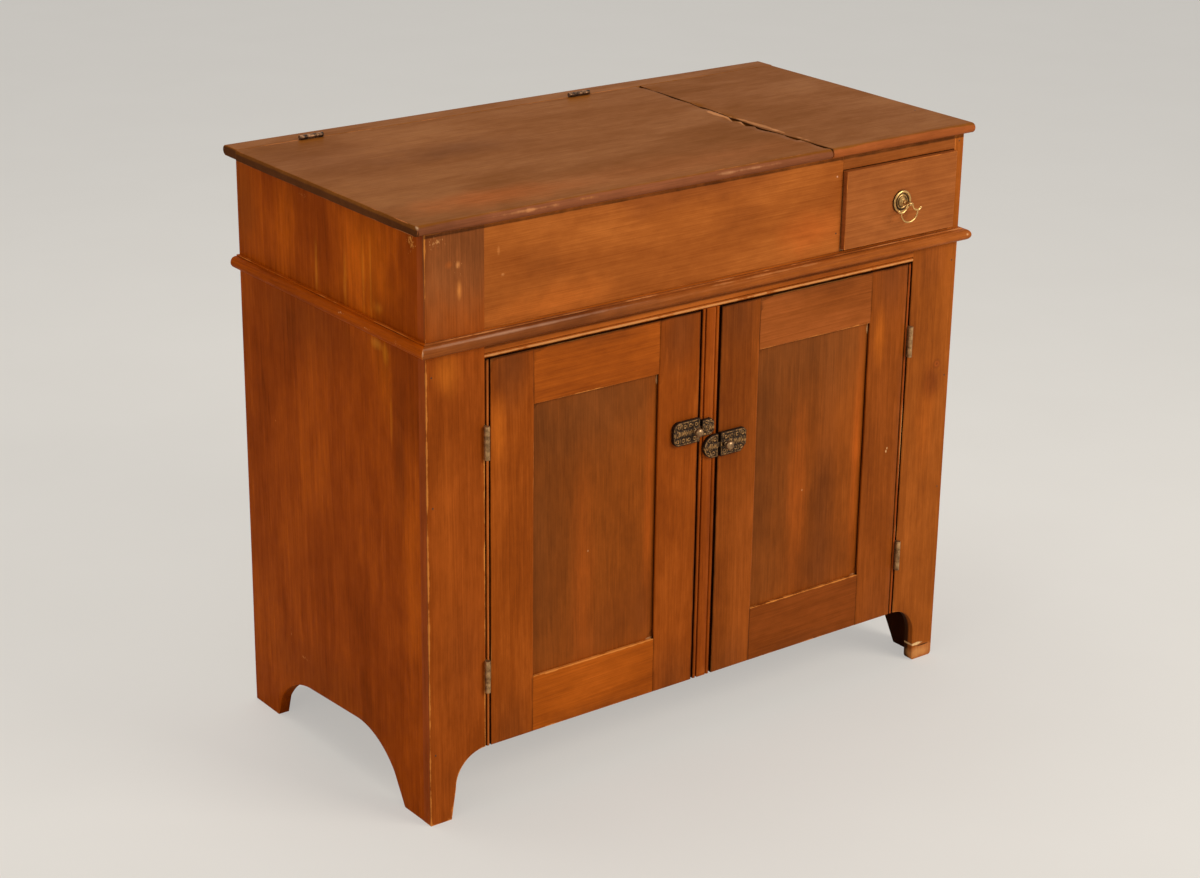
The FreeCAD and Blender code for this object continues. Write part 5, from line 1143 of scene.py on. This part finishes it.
def slotted_screws(node, metal):
    """Built screws with a driver's slot sunk in each head."""
    work = merged_copy(node)
    half_slot, slot_depth, flat = 0.00035, 0.0007, 3e-5
    screws = []
    for verts in islands(work):
        low = [min(vert.co[axis] for vert in verts) for axis in range(3)]
        high = [max(vert.co[axis] for vert in verts) for axis in range(3)]
        spans = [top - bottom for bottom, top in zip(low, high)]
        axis = spans.index(max(spans))
        middle = Vector([(top + bottom) / 2 for bottom, top in zip(low, high)])
        head_first = girth(verts, axis, low[axis], middle) > girth(verts, axis, high[axis], middle)
        head, inward = (low[axis], 1) if head_first else (high[axis], -1)
        screws.append((axis, head, inward, middle, max(spans)))
    for axis, head, inward, middle, length in screws:
        normal = Vector((0, 0, 0))
        normal[(axis + 1) % 3] = math.cos(length * 9e4)
        normal[(axis + 2) % 3] = math.sin(length * 9e4)
        for side in (-1, 1):
            for reach in (half_slot, half_slot + 0.00004):
                head_faces = [face for face in work.faces
                              if (face.calc_center_median() - middle).length < length * 0.8
                              and all(abs(vert.co[axis] - head) < flat for vert in face.verts)]
                cut_faces(work, head_faces, middle + normal * side * reach, normal, 1e-7)
        for vert in work.verts:
            step = vert.co - middle
            on_head = abs(vert.co[axis] - head) < flat and step.length < length
            if on_head and abs(step.dot(normal)) < half_slot + 1e-5:
                vert.co[axis] += inward * slot_depth
    set_in_place(f"{node}_slotted", work, node, frame["nodes"][node]["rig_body"], metal)


screw_steel = aged_metal("screw_steel", (50, 34, 20), (132, 100, 66), 0.5, 0.36, 0.75, speck=200.0)
for node in ("frame_screws", "left_door_screws", "right_door_screws", "lid_screws"):
    slotted_screws(node, screw_steel)
nail_steel = aged_metal("nail_steel", (58, 34, 20), (110, 76, 50), 0.7, 0.5, 0.6, speck=300.0)
dress("cut_nails", nail_steel)


# Floor and light: a plain pale floor, a large soft lamp to the right of the front, a weaker one to the left,
# one overhead, and an even light from all round.
floor_work = bmesh.new()
bmesh.ops.create_grid(floor_work, x_segments=1, y_segments=1, size=14)
floor_mesh = bpy.data.meshes.new("floor")
floor_work.to_mesh(floor_mesh)
floor_work.free()
floor = bpy.data.objects.new("floor", floor_mesh)
bpy.context.scene.collection.objects.link(floor)
floor_finish, tree, here = new_finish("floor_pale")
tone = mingle(tree, soft_noise(tree, here, 3.0, 4.0), paint(214, 208, 198), paint(224, 219, 210))
surface = put(tree, "BsdfPrincipled", {"Base Color": tone, "Roughness": 0.7, "Specular IOR Level": 0.2})
glow = put(tree, "Emission", {"Color": paint(236, 233, 228), "Strength": 1.0})
seen = times(tree, put(tree, "LightPath").outputs["Is Camera Ray"], 0.5)
lifted = put(tree, "MixShader", {0: seen, 1: surface.outputs[0], 2: glow.outputs[0]})
put(tree, "OutputMaterial", {"Surface": lifted.outputs[0]})
floor_mesh.materials.append(floor_finish)


def soft_lamp(name, at, aim, width, watts, tint):
    """A square soft lamp that looks at a point."""
    data = bpy.data.lights.new(name, "AREA")
    data.shape = "SQUARE"
    data.size = width
    data.energy = watts
    data.color = tint
    lamp = bpy.data.objects.new(name, data)
    lamp.location = at
    lamp.rotation_euler = (Vector(aim) - Vector(at)).to_track_quat("-Z", "Y").to_euler()
    bpy.context.scene.collection.objects.link(lamp)


soft_lamp("key_lamp", (1.7, -3.4, 2.6), (0, 0, 0.5), 2.2, 110, (1.0, 0.97, 0.92))
soft_lamp("fill_lamp", (-3.6, -1.4, 1.8), (0, 0, 0.5), 2.4, 22, (1.0, 0.97, 0.94))
soft_lamp("top_lamp", (-0.4, 0.8, 3.4), (0, 0, 0.8), 2.4, 45, (1.0, 0.98, 0.95))

world = bpy.data.worlds.new("room")
bpy.context.scene.world = world
world.use_nodes = True
tree = world.node_tree
tree.nodes.clear()
rays = put(tree, "LightPath").outputs
seen = reckon(tree, "MAXIMUM", rays["Is Camera Ray"], rays["Is Glossy Ray"])
seen = reckon(tree, "MAXIMUM", seen, rays["Is Transmission Ray"])
ambient = put(tree, "Background", {"Color": paint(206, 204, 200), "Strength": 0.55})
backdrop = put(tree, "Background", {"Color": paint(222, 219, 214), "Strength": 1.0})
both = put(tree, "MixShader", {0: seen, 1: ambient.outputs[0], 2: backdrop.outputs[0]})
put(tree, "OutputWorld", {"Surface": both.outputs[0]})
bpy.context.scene.view_settings.view_transform = "Standard"
